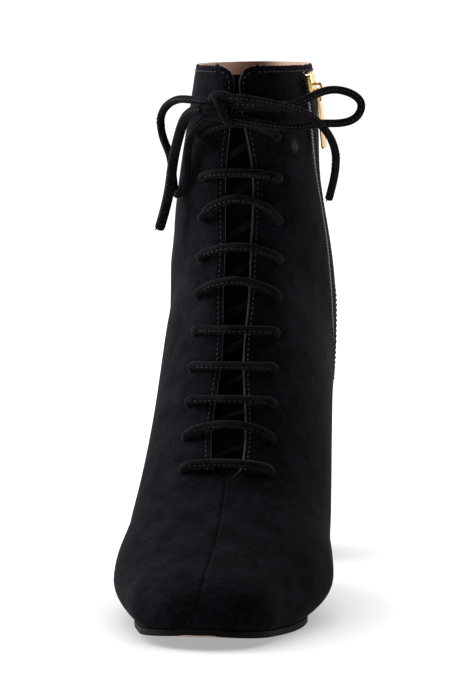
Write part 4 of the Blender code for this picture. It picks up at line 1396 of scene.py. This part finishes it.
def make_camera():
    """The photograph's viewpoint, turned to the one boot."""
    data = bpy.data.cameras.new("camera")
    data.sensor_width = 36.0
    data.lens = PHOTO_FOCUS * ENLARGE * data.sensor_width / PICTURE_HEIGHT
    data.clip_start = 0.05
    right = (AIM_PIXEL[0] - PHOTO_AXIS[0]) / PHOTO_FOCUS
    down = (AIM_PIXEL[1] - PHOTO_AXIS[1]) / PHOTO_FOCUS
    ahead = CAMERA_AWAY + CAMERA_RIGHT * right - Vector((0.0, 0.0, down))
    bpy.context.scene.camera = aim(data, CAMERA_AT, ahead)


def make_floor():
    """A white, glowing floor that curves up into the backdrop, softly darkened around the boot."""
    near, bend, radius, high, wide = -6.0, 4.5, 1.5, 4.0, 6.0
    profile = [(near, 0.0), (0.0, 0.0)]
    for angle in np.radians(np.linspace(0, 90, 25)):
        profile.append((bend + radius * math.sin(angle), radius * (1 - math.cos(angle))))
    profile.append((bend + radius, high))
    build = bmesh.new()
    rows = [[build.verts.new((x, y, z)) for x in (-wide, wide)] for y, z in profile]
    for lower, upper in zip(rows, rows[1:]):
        build.faces.new((lower[0], lower[1], upper[1], upper[0]))
    look = Look("floor_paper", Roughness=0.9, Specular_IOR_Level=0.1, Emission_Strength=FLOOR_GLOW)
    look.colour(look.ramp(look.noise(3.0), (0.3, (0.19, 0.19, 0.19)), (0.7, (0.21, 0.21, 0.21))))
    shade = look.node("AmbientOcclusion", Distance=SHADOW_REACH)
    glow = look.ramp(shade.outputs["AO"], *[(at, (share, share, share)) for at, share in FLOOR_SHADE])
    look.feed(look.shader.inputs["Emission Color"], glow)
    floor = add_object(mesh_of("floor", build), look.material)
    floor.data.shade_smooth()


LIGHTS = (              # name, place, goal, width, height, watts
    ("left", (-1.5, 0.2, 0.7), (0.0, 0.0, 0.1), 0.9, 1.2, 60.0),
    ("right", (1.2, 1.1, 0.9), (0.0, 0.0, 0.1), 0.9, 1.2, 24.0),
    ("top", (-0.5, 0.6, 2.2), (0.0, 0.2, 0.0), 2.2, 2.0, 46.0),
)


def make_lights():
    """Soft studio light: a dim room and three large soft boxes."""
    world = bpy.data.worlds.new("studio")
    world.use_nodes = True
    room = world.node_tree.nodes["Background"]
    room.inputs["Color"].default_value = (1.0, 1.0, 1.0, 1.0)
    room.inputs["Strength"].default_value = ROOM_LIGHT
    bpy.context.scene.world = world
    for name, at, goal, width, height, watts in LIGHTS:
        data = bpy.data.lights.new(name, "AREA")
        data.shape = "RECTANGLE"
        data.size = width
        data.size_y = height
        data.energy = watts
        aim(data, at, Vector(goal) - Vector(at))
    bpy.context.scene.view_settings.view_transform = "Standard"


make_camera()
make_floor()
make_lights()
make_upper()
make_stitches()
make_tongue()
make_insole()
make_outsole()
make_heel()
make_tape()
make_coil()
make_slider()
make_lace()
